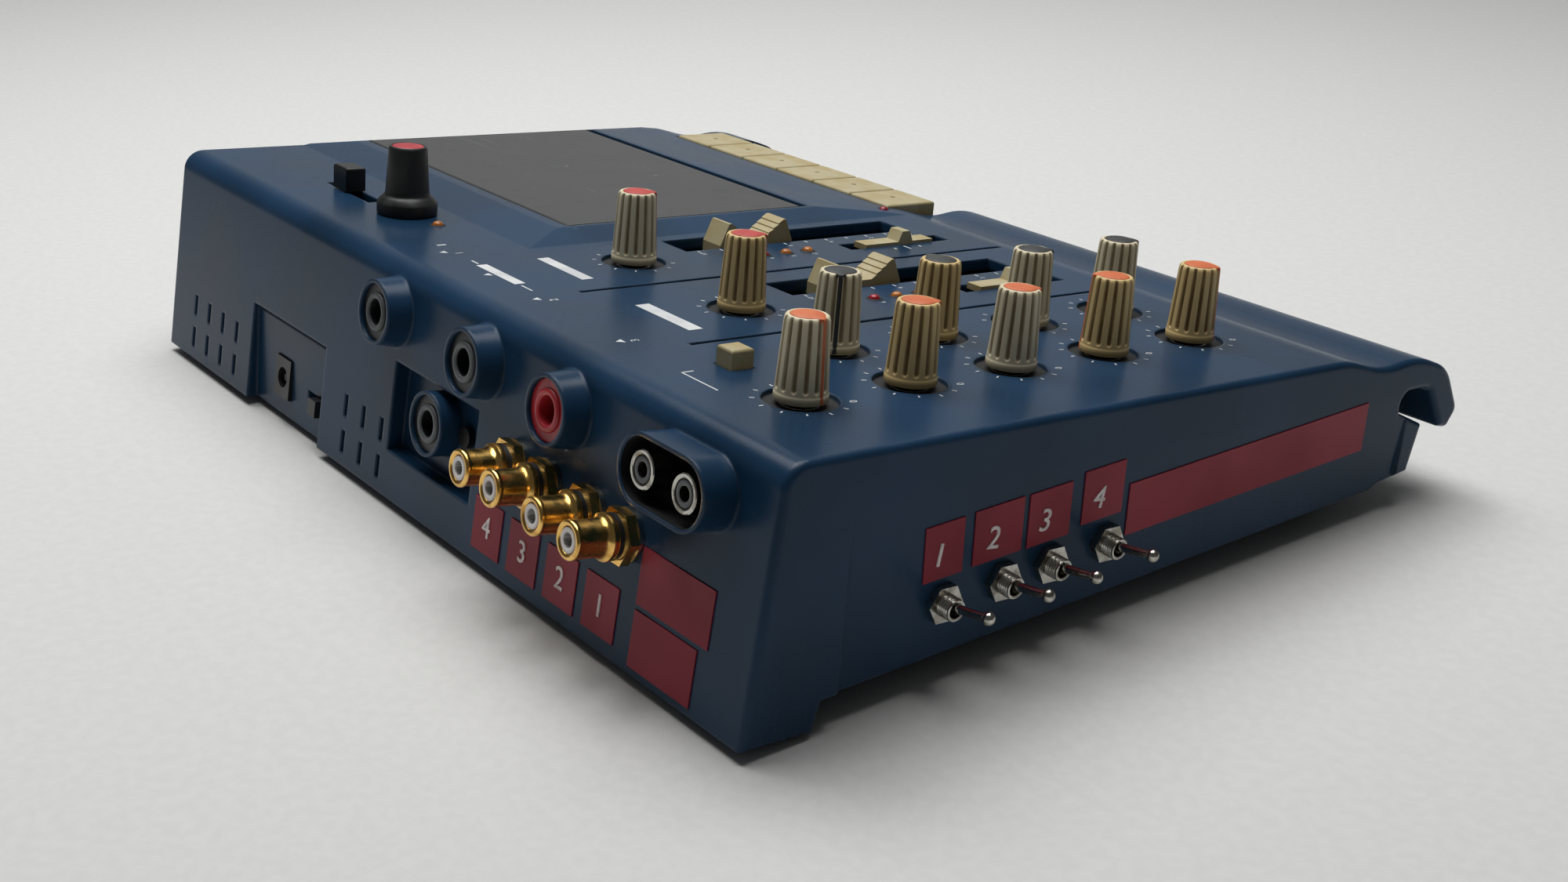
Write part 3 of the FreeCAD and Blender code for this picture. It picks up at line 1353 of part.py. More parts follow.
def flute_cuts(name, foot_radius, top_radius, skirt, height):
    """Flutes round a tapered knob, each a rod that leans with the side of the knob."""
    lean = math.degrees(math.atan2(
        number(f"({foot_radius}) - ({top_radius})"), number(f"({height}) - ({skirt})")))
    flutes = []
    for index in range(int(number("knob_flutes"))):
        turn = 360 * index / number("knob_flutes")
        reach = number(f"({foot_radius}) + flute_radius - flute_depth")
        flute = rod(f"{name}_flute_{index}", "flute_radius", 0, 0, 0, f"2 * ({height})")
        spin = Rotation(Z_AXIS, turn)
        start = spin.multVec(Vector(reach, 0, number(skirt)))
        flutes.append(carried(flute, Placement(start, spin.multiply(Rotation(Y_AXIS, -lean)))))
    return flutes


def knob(name, corners, height, flutes, foot_drop):
    """A knob whose foot is at z = 0: cap with a bore and a seat, insert, and shaft."""
    seat = f"({height}) - knob_insert"
    cap = cut(name + "_cap", turning(name + "_turning", corners), *flutes,
              rod(name + "_seat", "knob_insert_radius + shaft_clearance", 0, 0, seat, "2 * knob_insert"),
              rod(name + "_bore", "shaft_radius + shaft_clearance", 0, 0, "-knob_insert",
                  "knob_bore_depth + knob_insert"))
    insert = rod(name + "_insert", "knob_insert_radius", 0, 0, seat, "knob_insert + knob_insert_rise")
    shaft = rod(name + "_shaft", "shaft_radius", 0, 0, f"-({foot_drop})",
                f"knob_bore_depth - screw_clearance + ({foot_drop})")
    return group(name, cap, insert, shaft)


KNOB_SEAT = "knob_rise"
knob_form = knob(
    "knob_form", [
        ("0", "0"),
        ("knob_base_radius", "0"),
        ("knob_base_radius", "knob_skirt"),
        ("knob_foot_radius", "knob_skirt"),
        ("knob_top_radius", "knob_height - knob_dome"),
        ("knob_top_radius - knob_rounding", "knob_height"),
        ("0", "knob_height")], "knob_height",
    flute_cuts("knob", "knob_foot_radius", "knob_top_radius", "knob_skirt", "knob_height"),
    f"shaft_foot_drop + {KNOB_SEAT}")
for label, (x, front) in KNOBS.items():
    piece(label, copy_at(label + "_copy", knob_form, 0, 0, 0), base=vector(x, f"-({front})", KNOB_SEAT))
piece("pitch_knob", knob(
    "pitch_knob_form", [
        ("0", "0"),
        ("pitch_skirt_radius", "0"),
        ("pitch_skirt_radius", "pitch_skirt - knob_dome"),
        ("pitch_skirt_radius - knob_dome", "pitch_skirt"),
        ("pitch_foot_radius", "pitch_shoulder"),
        ("pitch_top_radius", "pitch_height - knob_dome"),
        ("pitch_top_radius - knob_rounding", "pitch_height"),
        ("0", "pitch_height")], "pitch_height",
    flute_cuts("pitch", "pitch_foot_radius", "pitch_top_radius", "pitch_shoulder", "pitch_height"),
    "shaft_foot_drop + knob_gap / 2"),
    base=vector(PITCH_KNOB[0], f"-({PITCH_KNOB[1]})", "knob_gap / 2"))

# Boards, and the bodies of the controls that stand on them

BOARD_UP = ("-board_drop - board_thickness", "-board_drop")
piece("main_board", fuse(
    "main_board_form",
    slab("board_field", ("board_left", "board_right"), ("board_rear", "board_front"), BOARD_UP),
    slab("board_arm", ("board_right", "board_arm_right"), ("board_rear", "board_arm_front"), BOARD_UP)))
jack_board = box("jack_board_form", ("jack_board_left", "jack_board_right"),
                 ("jack_board_top", "jack_board_foot"),
                 ("-jack_board_out - board_thickness", "-jack_board_out"))
piece("jack_board", jack_board, REAR)

POT_TOP = "(pot_height - board_drop)"
pot_form = cut(
    "pot_form",
    fuse("pot_solid",
         slab("pot_case", ("-pot_side / 2", "pot_side / 2"), ("-pot_side / 2", "pot_side / 2"),
              ("-board_drop", POT_TOP)),
         rod("pot_bush", "bush_radius", 0, 0, POT_TOP, f"-bush_top_drop - {POT_TOP}")),
    rod("pot_bore", "shaft_radius + shaft_clearance", 0, 0, "-shaft_foot_drop - floor_clearance",
        "2 * pot_height"))
controls = []
for label, (x, front) in {**KNOBS, "pitch_knob": PITCH_KNOB}.items():
    controls.append(copy_at(f"pot_of_{label}", pot_form, x, f"-({front})", 0))


def slide_body(name, x, half_width, front, up, channel, stem_foot):
    """A closed control body with a channel that the stem of its cap runs in."""
    return cut(
        name,
        slab(name + "_case", (f"{x} - ({half_width})", f"{x} + ({half_width})"), front, up),
        slab(name + "_channel", channel[0], channel[1],
             (f"-({stem_foot}) - stem_clearance", f"{up[1]} + panel_skin")))


FADER_MIDDLE = "(fader_cap_rear + fader_cap_length / 2)"
FADER_TOP = "fader_body_height - board_drop"
STEM_FOOT = "fader_cap_drop + fader_body_height"
for index, x in enumerate(FADERS, start=1):
    controls.append(slide_body(
        f"fader_body_{index}", x, "fader_body_width / 2",
        ("fader_slot_rear - fader_body_overhang", "fader_slot_front + fader_body_overhang"),
        ("-board_drop", FADER_TOP),
        ((f"{x} - fader_stem_width / 2 - stem_clearance", f"{x} + fader_stem_width / 2 + stem_clearance"),
         (f"{FADER_MIDDLE} - fader_travel_rear - fader_stem_length / 2 - stem_clearance",
          f"{FADER_MIDDLE} + fader_travel_front + fader_stem_length / 2 + stem_clearance")),
        STEM_FOOT))
SWITCH_MIDDLE = "(switch_cap_front - switch_cap_length / 2)"
SWITCH_TOP = "switch_body_height - board_drop"
SWITCH_STEM = "(switch_body_height + fader_cap_drop)"
for index, x in enumerate(SWITCHES, start=1):
    controls.append(slide_body(
        f"switch_body_{index}", x, "switch_slot_width / 2 + floor_clearance",
        ("switch_slot_rear", "switch_slot_front"), ("-board_drop", SWITCH_TOP),
        ((f"{x} - fader_stem_width / 2 - stem_clearance", f"{x} + fader_stem_width / 2 + stem_clearance"),
         (f"{SWITCH_MIDDLE} - switch_travel - fader_stem_length / 2 - stem_clearance",
          f"{SWITCH_MIDDLE} + switch_travel + fader_stem_length / 2 + stem_clearance")),
        SWITCH_STEM))
MONO_STEM_HALF = "fader_stem_width"
controls.append(slide_body(
    "mono_switch_body", "mono_x", "mono_side / 2 + switch_body_margin",
    ("mono_front - mono_side / 2 - switch_body_margin",
     "mono_front + mono_side / 2 + switch_body_margin"), ("-board_drop", SWITCH_TOP),
    ((f"mono_x - {MONO_STEM_HALF} / 2 - stem_clearance", f"mono_x + {MONO_STEM_HALF} / 2 + stem_clearance"),
     (f"mono_front - {MONO_STEM_HALF} / 2 - stem_clearance",
      f"mono_front + {MONO_STEM_HALF} / 2 + stem_clearance")),
    "bush_top_drop + switch_body_height"))
SPEED_MIDDLE = "(speed_cap_left + speed_cap_width / 2)"
SPEED_FRONT = "((speed_slot_rear + speed_slot_front) / 2)"
controls.append(slide_body(
    "speed_switch_body", "(speed_slot_left + speed_slot_right) / 2",
    "(speed_slot_right - speed_slot_left) / 2 + switch_body_margin",
    (f"{SPEED_FRONT} - speed_cap_depth / 2 + stem_clearance", f"{SPEED_FRONT} + speed_cap_depth / 2"),
    ("-board_drop", SWITCH_TOP),
    ((f"{SPEED_MIDDLE} - speed_travel_left - fader_stem_width - stem_clearance",
      f"{SPEED_MIDDLE} + speed_travel_right + fader_stem_width + stem_clearance"),
     (f"{SPEED_FRONT} - fader_stem_width / 2 - stem_clearance",
      f"{SPEED_FRONT} + fader_stem_width / 2 + stem_clearance")),
    SWITCH_STEM))
controls.append(on_rear(cut(
    "power_switch_body",
    box("power_switch_case",
        ("power_switch_x - power_body_width / 2", "power_switch_x + power_body_width / 2"),
        ("power_switch_down - power_body_height / 2", "power_switch_down + power_body_height / 2"),
        ("-power_body_in - power_body_depth", "-power_body_in")),
    box("power_switch_channel",
        ("power_switch_x - power_travel / 2 - fader_stem_width / 2 - stem_clearance",
         "power_switch_x + power_travel / 2 + fader_stem_width / 2 + stem_clearance"),
        ("power_switch_down - fader_stem_width / 2 - stem_clearance",
         "power_switch_down + fader_stem_width / 2 + stem_clearance"),
        ("-power_body_in - power_body_depth + stem_clearance", "wall")))))
piece("control_bodies", group("control_bodies_form", *controls))

# Caps of the sliding controls and buttons


def saddle_half():
    """Corners of a fader cap from its valley to one end: ramps with small lips, a ridge, a leaning end."""
    ridge = "(fader_cap_length / 2 - fader_cap_lean - fader_ridge)"
    half = [("fader_valley_half", "fader_cap_valley")]
    for step in range(1, int(number("fader_steps"))):
        along = f"fader_valley_half + ({ridge} - fader_valley_half) * {step} / fader_steps"
        up = f"fader_cap_valley + (fader_cap_rise - fader_cap_valley) * {step} / fader_steps"
        half.append((along, f"{up} - fader_step_lip / 2"))
        half.append((along, f"{up} + fader_step_lip / 2"))
    half.append((ridge, "fader_cap_rise"))
    half.append((f"{ridge} + fader_ridge", "fader_cap_rise"))
    half.append(("fader_cap_length / 2", "0"))
    half.append(("fader_cap_length / 2", "-fader_cap_drop"))
    return half


SADDLE = [(f"-({along})", up) for along, up in reversed(saddle_half())] + saddle_half()
fader_cap_form = fuse(
    "fader_cap_form",
    prism("fader_cap_block", "YZ", profile(*SADDLE), "-fader_cap_width / 2", "fader_cap_width"),
    slab("fader_cap_stem", ("-fader_stem_width / 2", "fader_stem_width / 2"),
         ("-fader_stem_length / 2", "fader_stem_length / 2"), (f"-({STEM_FOOT})", "-fader_cap_drop")))
for index, x in enumerate(FADERS, start=1):
    piece(f"fader_cap_{index}", copy_at(f"fader_cap_copy_{index}", fader_cap_form, 0, 0, 0),
          base=vector(x, f"-{FADER_MIDDLE}", "0"))

switch_cap_form = fuse(
    "switch_cap_form",
    slab("switch_cap_plate", ("-switch_cap_width / 2", "switch_cap_width / 2"),
         ("-switch_cap_length / 2", "switch_cap_length / 2"), ("-switch_cap_rise", "switch_cap_rise")),
    prism("switch_cap_hump", "YZ", profile(
        ("switch_hump_front - switch_hump_length / 2", "switch_cap_rise"),
        ("switch_hump_front - switch_hump_top / 2", "switch_hump_rise"),
        ("switch_hump_front + switch_hump_top / 2", "switch_hump_rise"),
        ("switch_hump_front + switch_hump_length / 2", "switch_cap_rise")),
        "-switch_cap_width / 2", "switch_cap_width"),
    slab("switch_cap_stem", ("-fader_stem_width / 2", "fader_stem_width / 2"),
         ("-fader_stem_length / 2", "fader_stem_length / 2"), (f"-{SWITCH_STEM}", "-switch_cap_rise")))
for index, x in enumerate(SWITCHES, start=1):
    piece(f"input_switch_{index}", copy_at(f"switch_cap_copy_{index}", switch_cap_form, 0, 0, 0),
          base=vector(x, f"-{SWITCH_MIDDLE}", "0"))

piece("mono_button", fuse(
    "mono_button_form",
    soft_block("mono_cap", ("mono_x - mono_side / 2", "mono_x + mono_side / 2"),
               ("mono_front - mono_side / 2", "mono_front + mono_side / 2"),
               ("-mono_clearance - wall - mono_skirt", "mono_rise"), "key_rounding"),
    slab("mono_stem", (f"mono_x - {MONO_STEM_HALF} / 2", f"mono_x + {MONO_STEM_HALF} / 2"),
         (f"mono_front - {MONO_STEM_HALF} / 2", f"mono_front + {MONO_STEM_HALF} / 2"),
         ("mono_travel - bush_top_drop - switch_body_height", "-mono_clearance - wall - mono_skirt"))))
piece("speed_switch", fuse(
    "speed_switch_form",
    soft_block("speed_cap", ("speed_cap_left", "speed_cap_left + speed_cap_width"),
               (f"{SPEED_FRONT} - speed_cap_depth / 2", f"{SPEED_FRONT} + speed_cap_depth / 2"),
               ("speed_cap_gap", "speed_cap_rise"), "key_rounding"),
    slab("speed_stem", (f"{SPEED_MIDDLE} - fader_stem_width", f"{SPEED_MIDDLE} + fader_stem_width"),
         (f"{SPEED_FRONT} - fader_stem_width / 2", f"{SPEED_FRONT} + fader_stem_width / 2"),
         (f"-{SWITCH_STEM}", "speed_cap_gap"))))
POWER_CAP_X = "power_switch_x - power_travel / 2"
piece("power_slide", fuse(
    "power_slide_form",
    box("power_cap", (f"{POWER_CAP_X} - power_cap_width / 2", f"{POWER_CAP_X} + power_cap_width / 2"),
        ("power_switch_down - power_cap_height / 2", "power_switch_down + power_cap_height / 2"),
        ("-power_cap_in - power_cap_depth", "-power_cap_in")),
    box("power_stem", (f"{POWER_CAP_X} - fader_stem_width / 2", f"{POWER_CAP_X} + fader_stem_width / 2"),
        ("power_switch_down - fader_stem_width / 2", "power_switch_down + fader_stem_width / 2"),
        ("-power_body_in - power_body_depth / 2", "-power_cap_in - power_cap_depth"))), REAR)

# Lamps

lamp_form = fuse(
    "lamp_form",
    rod("lamp_barrel", "lamp_radius", 0, 0, "-lamp_length", "lamp_length"),
    cone("lamp_tip", "lamp_radius", "lamp_radius / 2", 0, 0, 0, "lamp_rise"))
piece("panel_leds", group("panel_leds_form", *[
    copy_at(name, lamp_form, x, f"-({front})", 0) for name, (x, front) in LAMPS.items()]))

# Rear sockets

JACK_FACE = "(collar_height - jack_face_drop)"


def quarter_inch_jack(name, x, down, face, inner):
    """A quarter inch socket: nose in its collar, case behind the wall, bore for the plug."""
    return cut(
        name,
        fuse(name + "_solid",
             rod(name + "_nose", "jack_nose_radius", x, down, inner, f"({face}) - ({inner})"),
             box(name + "_case", (f"{x} - jack_body_width / 2", f"{x} + jack_body_width / 2"),
                 (f"{down} - jack_body_height / 2", f"{down} + jack_body_height / 2"),
                 ("-jack_board_out", inner))),
        rod(name + "_bore", "jack_bore_radius", x, down, f"({face}) - jack_bore_depth",
            "jack_bore_depth + wall"))


piece("input_jacks", group(
    "input_jacks_form",
    quarter_inch_jack("jack_one", "jack_one_x", "jack_height", JACK_FACE, "-wall - floor_clearance"),
    quarter_inch_jack("jack_two", "jack_two_x", "jack_height", JACK_FACE, "-wall - floor_clearance"),
    quarter_inch_jack("jack_three", "jack_three_x", "jack_three_down", "1",
                      "-pocket_depth - wall - floor_clearance")), REAR)
phones_jack = quarter_inch_jack("phones_jack_form", "phones_jack_x", "jack_height", JACK_FACE,
                                "-wall - floor_clearance")
piece("phones_jack", phones_jack, REAR)

LINE_FACE = "(line_base_out + line_ring_length)"
LINE_SHOULDER = "(line_base_out + line_shoulder)"
piece("line_out_jacks", group("line_out_form", *[
    cut(f"line_jack_{x}",
        fuse(f"line_solid_{x}",
             rod(f"line_barrel_{x}", "rca_radius", x, "jack_height", LINE_SHOULDER,
                 f"{LINE_FACE} - {LINE_SHOULDER}"),
             rod(f"line_stem_{x}", "line_stem_radius", x, "jack_height", "-jack_board_out",
                 f"{LINE_SHOULDER} + jack_board_out")),
        rod(f"line_bore_{x}", "rca_bore_radius", x, "jack_height", f"{LINE_FACE} - rca_bore_depth",
            "2 * rca_bore_depth"))
    for x in ("line_one_x", "line_two_x")]), REAR)

INLET = ("inlet_x - inlet_width / 2", "inlet_x + inlet_width / 2")
INLET_MIDDLE = "inlet_top + inlet_height / 2"
piece("dc_inlet", fuse(
    "dc_inlet_form",
    cut("dc_inlet_shell",
        box("dc_inlet_case", INLET, ("inlet_top", "inlet_top + inlet_height"),
            ("-inlet_face_in - inlet_depth", "-inlet_face_in")),
        rod("dc_inlet_bore", "inlet_bore_radius", "inlet_x", INLET_MIDDLE,
            "tub_wall - inlet_face_in - inlet_depth", "inlet_depth")),
    rod("dc_inlet_pin", "inlet_pin_radius", "inlet_x", INLET_MIDDLE, "-inlet_face_in - inlet_depth",
        "inlet_depth - past_face")), REAR)

# Gold phono sockets: washer, nut, collar, flange and barrel

RING_OUT = "(rca_washer + rca_nut)"
INSULATOR_OUT = f"({RING_OUT} + rca_ring)"
FLANGE_OUT = f"({INSULATOR_OUT} + rca_insulator)"
BARREL_OUT = f"({FLANGE_OUT} + rca_flange)"
TIP_OUT = f"({BARREL_OUT} + rca_barrel)"
STEM_HOLE = "rca_stem_radius + shaft_clearance"


def ring(name, radius, x, start, length):
    return cut(name, rod(name + "_disc", radius, x, "rca_down", start, length),
               rod(name + "_hole", STEM_HOLE, x, "rca_down", f"{start} - past_face",
                   f"{length} + 2 * past_face"))


def phono_shell(name, x):
    return cut(
        name,
        fuse(name + "_solid",
             rod(name + "_stem", "rca_stem_radius", x, "rca_down", "-rca_stem_inside",
                 f"{FLANGE_OUT} + rca_stem_inside"),
             rod(name + "_flange", "rca_flange_radius", x, "rca_down", FLANGE_OUT, "rca_flange"),
             rod(name + "_barrel", "rca_radius", x, "rca_down", BARREL_OUT, "rca_barrel")),
        rod(name + "_bore", "rca_core_radius + shaft_clearance", x, "rca_down",
            f"{TIP_OUT} - rca_bore_depth", "2 * rca_bore_depth"))


def phono_core(name, x):
    return cut(
        name,
        rod(name + "_rod", "rca_core_radius", x, "rca_down", f"{TIP_OUT} - rca_bore_depth",
            "rca_bore_depth - rca_core_recess"),
        rod(name + "_bore", "rca_bore_radius", x, "rca_down", f"{TIP_OUT} - rca_bore_depth + past_face",
            "2 * rca_bore_depth"))


def phono_nut(name, x):
    return cut(name, hexagon(name + "_hexagon", "rca_nut_flats", x, "rca_down", "rca_washer", "rca_nut"),
               rod(name + "_hole", STEM_HOLE, x, "rca_down", "0", "2 * rca_nut + rca_washer"))


piece("rca_shells", group("rca_shells_form", *[
    phono_shell(f"phono_shell_{name}", x) for name, x in PHONO.items()]), REAR)
piece("rca_insulators", group("rca_insulators_form", *[
    form for name, x in PHONO.items() for form in (
        phono_core(f"phono_core_{name}", x),
        ring(f"phono_insulator_{name}", "rca_insulator_radius", x, INSULATOR_OUT, "rca_insulator"))]), REAR)
piece("rca_washers", group("rca_washers_form", *[
    form for name, x in PHONO.items() for form in (
        ring(f"phono_washer_{name}", "rca_washer_radius", x, "0", "rca_washer"),
        ring(f"phono_ring_{name}", "rca_ring_radius", x, RING_OUT, "rca_ring"))]), REAR)
piece("rca_nuts", group("rca_nuts_form", *[
    phono_nut(f"phono_nut_{name}", x) for name, x in PHONO.items()]), REAR)

# Toggle switches on the left side

toggle_bodies = []
toggle_nuts = []
for index, front in enumerate(TOGGLES, start=1):
    up = toggle_height(front)
    toggle_bodies.append(cut(
        f"toggle_switch_{index}",
        fuse(f"toggle_switch_solid_{index}",
             box(f"toggle_case_{index}",
                 (f"{front} - toggle_body_side / 2", f"{front} + toggle_body_side / 2"),
                 (f"{up} - toggle_body_length / 2", f"{up} + toggle_body_length / 2"),
                 ("-toggle_body_inset - toggle_body_depth", "-toggle_body_inset")),
             rod(f"toggle_bush_{index}", "toggle_bush_radius", front, up, "-toggle_body_inset",
                 "toggle_body_inset + toggle_bush_out")),
        rod(f"toggle_bore_{index}", "toggle_bush_bore", front, up,
            "toggle_pivot_out - toggle_ball_radius - stem_clearance", "2 * toggle_bush_out")))
    toggle_nuts.append(cut(
        f"toggle_nut_{index}",
        hexagon(f"toggle_nut_hexagon_{index}", "toggle_nut_flats", front, up, "0", "toggle_nut"),
        rod(f"toggle_nut_hole_{index}", "toggle_bush_radius + shaft_clearance", front, up, "-past_face",
            "2 * toggle_nut + 2 * past_face")))
piece("toggle_switches", group("toggle_switches_form", *toggle_bodies), SIDE)
piece("toggle_nuts", group("toggle_nuts_form", *toggle_nuts), SIDE)

lever_form = fuse(
    "lever_form",
    ball("lever_pivot", "toggle_ball_radius", 0, 0, 0),
    cone("lever_neck", "toggle_neck_radius", "toggle_neck_end_radius", 0, 0, 0,
         "toggle_lever - toggle_tip_radius"),
    ball("lever_tip", "toggle_tip_radius", 0, 0, "toggle_lever - toggle_tip_radius"))
for index, front in enumerate(TOGGLES, start=1):
    piece(f"toggle_lever_{index}", copy_at(f"lever_copy_{index}", lever_form, 0, 0, 0), SIDE,
          base=vector(front, toggle_height(front), "toggle_pivot_out"),
          rotation=Rotation(X_AXIS, -number("toggle_rest_deg")))

# Label plates on the rear wall and the left side

plates = []
for step in range(4):
    left = f"plate_rear_one_x + {step} * plate_rear_pitch - plate_side / 2"
    plates.append(on_rear(box(
        f"rear_plate_{step}", (left, f"{left} + plate_side"),
        ("plate_rear_top", "plate_rear_top + plate_side"), ("0", "plate_thickness"))))
for step, left in enumerate(("plate_word_left", "plate_word_two_left")):
    top = f"plate_word_top + {step} * (plate_side + plate_word_gap)"
    plates.append(on_rear(box(
        f"word_plate_{step}", (left, "plate_word_right"), (top, f"{top} + plate_side"),
        ("0", "plate_thickness"))))


def side_plate(name, front, top, width):
    """A plate that hangs level on the left side from its upper corner nearest the rear."""
    form = box(name, ("0", width), ("-plate_side", "0"), ("0", "plate_thickness"))
    corner = Placement(vector(front, f"side_recess_top - ({top})", "0"), Rotation(Z_AXIS, tilt_deg))
    return carried(form, SIDE.multiply(corner))


for name in ("one", "two", "three", "four"):
    plates.append(side_plate(
        f"side_plate_{name}", f"plate_side_{name}_rear", f"plate_side_{name}_top",
        f"plate_side_{name}_width"))
plates.append(side_plate("long_plate", "plate_long_rear", "plate_long_top", "plate_long_length"))
piece("label_plates", group("label_plates_form", *plates))

# The origin goes to the middle of the underside of the whole recorder

doc.recompute()
whole = FreeCAD.BoundBox()
for item in pieces.values():
    whole.add(item.Shape.BoundBox)
to_origin = Placement(Vector(-whole.Center.x, -whole.Center.y, -whole.ZMin), Rotation())
for item in pieces.values():
    item.Placement = to_origin.multiply(item.Placement)
doc.recompute()

for item in doc.Objects:
    if "Invalid" in item.State or "Error" in item.State:
        raise RuntimeError(f"{item.Name} could not be built: {item.State}")
for label, item in pieces.items():
    if item.Shape.isNull() or not item.Shape.isValid() or not item.Shape.Solids:
        raise RuntimeError(f"{label} has no valid solid")

os.makedirs("parts", exist_ok=True)
for label, item in pieces.items():
    item.Shape.exportStep(f"parts/{label}.step")
print(len(pieces), "pieces,", f"{whole.XLength:.1f} by {whole.YLength:.1f} by {whole.ZLength:.1f} mm")
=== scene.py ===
# %% [markdown]
# # A portable cassette recorder
# The recorder comes from CAD as sixty named pieces at their real size and place. All of it could be
# modelled again here, but new shapes would then have to be fitted to every hinge and slide. So this
# script keeps the pieces, gives each one a finish, and lets finer surfaces stand in for a few.

# %% Load the packed recorder
import json
import math

import bmesh
import bpy
import numpy as np
from mathutils import Matrix, Vector


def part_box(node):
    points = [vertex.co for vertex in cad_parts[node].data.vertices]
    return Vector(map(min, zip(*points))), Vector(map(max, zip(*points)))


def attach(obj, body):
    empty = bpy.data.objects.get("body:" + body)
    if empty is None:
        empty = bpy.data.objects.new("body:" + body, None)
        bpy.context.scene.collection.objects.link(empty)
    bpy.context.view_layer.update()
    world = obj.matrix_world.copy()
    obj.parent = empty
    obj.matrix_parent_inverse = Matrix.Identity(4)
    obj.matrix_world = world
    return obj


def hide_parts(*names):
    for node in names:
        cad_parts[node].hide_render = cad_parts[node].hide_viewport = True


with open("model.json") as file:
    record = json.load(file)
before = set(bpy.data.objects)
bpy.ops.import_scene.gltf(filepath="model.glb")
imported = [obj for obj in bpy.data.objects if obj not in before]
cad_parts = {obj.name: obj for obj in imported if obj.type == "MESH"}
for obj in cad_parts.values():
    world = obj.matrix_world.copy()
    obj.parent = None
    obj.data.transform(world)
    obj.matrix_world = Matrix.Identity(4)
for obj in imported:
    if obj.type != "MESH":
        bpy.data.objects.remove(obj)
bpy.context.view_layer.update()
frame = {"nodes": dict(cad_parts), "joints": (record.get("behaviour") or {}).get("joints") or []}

nodes = frame["nodes"]
joints = {joint["name"]: joint for joint in frame["joints"]}

# %% [markdown]
# # Frames on the leaning faces
# The control panel slopes down to the user, and the rear wall and the left side lean a little. In
# the recorder's level frame each place on them would mix height and distance. Instead each face
# gets a frame of its own: across it, along it and out of it, as a ruler on that face would measure.

# %% Points in a frame of their own
MM = 0.001


def frame_matrix(origin, across, along, out):
    """A 4 x 4 matrix whose first three columns are the axes and whose last is the origin."""
    matrix = np.eye(4)
    matrix[:3] = np.column_stack([across, along, out, origin])
    return matrix


def placed(matrix, points):
    """Rows of x, y and z in a frame, carried out of it: turned by its axes, moved by its origin."""
    points = np.asarray(points, dtype=float)
    return points @ matrix[:3, :3].T + matrix[:3, 3]


def spot(matrix, across, along, out=0.0, turn=0.0):
    """A smaller frame at a place in millimetres, turned by `turn` radians about its own upright."""
    local = np.eye(4)
    cosine, sine = math.cos(turn), math.sin(turn)
    local[:2, :2] = [[cosine, -sine], [sine, cosine]]
    local[:3, 3] = [across * MM, along * MM, out * MM]
    return matrix @ local


print("10 mm across is", spot(np.eye(4), 10.0, 0.0)[0, 3], "m")

# %% [markdown]
# # The panel, the rear wall and the left side
# The panel's slope could be typed in as an angle. The knobs give it exactly, though: each turns
# about a line square to the panel, and a joint knows its own line. The two walls follow from the
# panel by how far they lean over their height.

# %% Three frames
LEVEL_COLUMN = 31.0 * MM
PHONES_FRONT = 15.4 * MM
REAR_TOP_BACK = 11.2 * MM
REAR_FOOT_BACK = 17.1 * MM
REAR_DROP = 59.4 * MM
SIDE_LEAN = 2.0 * MM
SIDE_LEAN_TOP = 12.0 * MM
SIDE_DROP = 52.8 * MM

right = np.array([1.0, 0.0, 0.0])
knob_line = np.array(joints["phones_knob_turn"]["axis"], dtype=float)
panel_up = -knob_line / np.linalg.norm(knob_line)
rearward = np.cross(panel_up, right)
panel_origin = (np.array(joints["phones_knob_turn"]["pos_m"])
                - LEVEL_COLUMN * right + PHONES_FRONT * rearward)
PANEL = frame_matrix(panel_origin, right, rearward, panel_up)

rear_lean = math.atan2(REAR_FOOT_BACK - REAR_TOP_BACK, REAR_DROP)
rear_down = math.sin(rear_lean) * rearward - math.cos(rear_lean) * panel_up
rear_out = math.cos(rear_lean) * rearward + math.sin(rear_lean) * panel_up
REAR = frame_matrix(panel_origin + REAR_TOP_BACK * rearward, right, rear_down, rear_out)

side_lean = math.atan2(SIDE_LEAN, SIDE_DROP - SIDE_LEAN_TOP)
side_up = -math.sin(side_lean) * right + math.cos(side_lean) * panel_up
side_out = -math.cos(side_lean) * right - math.sin(side_lean) * panel_up
SIDE = frame_matrix(panel_origin - SIDE_LEAN_TOP * panel_up, -rearward, side_up, side_out)


def on_panel(across, front, up=0.0, turn=0.0):
    """A frame on the control panel: millimetres from its rear left corner, `front` to the user."""
    return spot(PANEL, across, -front, up, turn)


print("panel slopes", round(math.degrees(math.asin(rearward[2])), 2), "degrees")

# %% [markdown]
# # Camera
# Edges that are parallel on the recorder run together in its photograph, and that tells which lens
# took it, from where and in which direction. A camera could be set by eye, but then no two edges
# lie right at once. So these values are the ones worked out from the edges.

# %% Camera
PHOTO_WIDTH = 2000
FOCAL_PIXELS = 2452.8
SENSOR_MM = 36.0
EYE_ACROSS = -262.02 * MM
EYE_BACK = 224.01 * MM
EYE_UP = 121.28 * MM
HEADING = math.radians(-127.215)
PITCH = math.radians(-22.420)
ROLL = math.radians(0.261)
NEAREST_SEEN = 0.01
FARTHEST_SEEN = 50.0


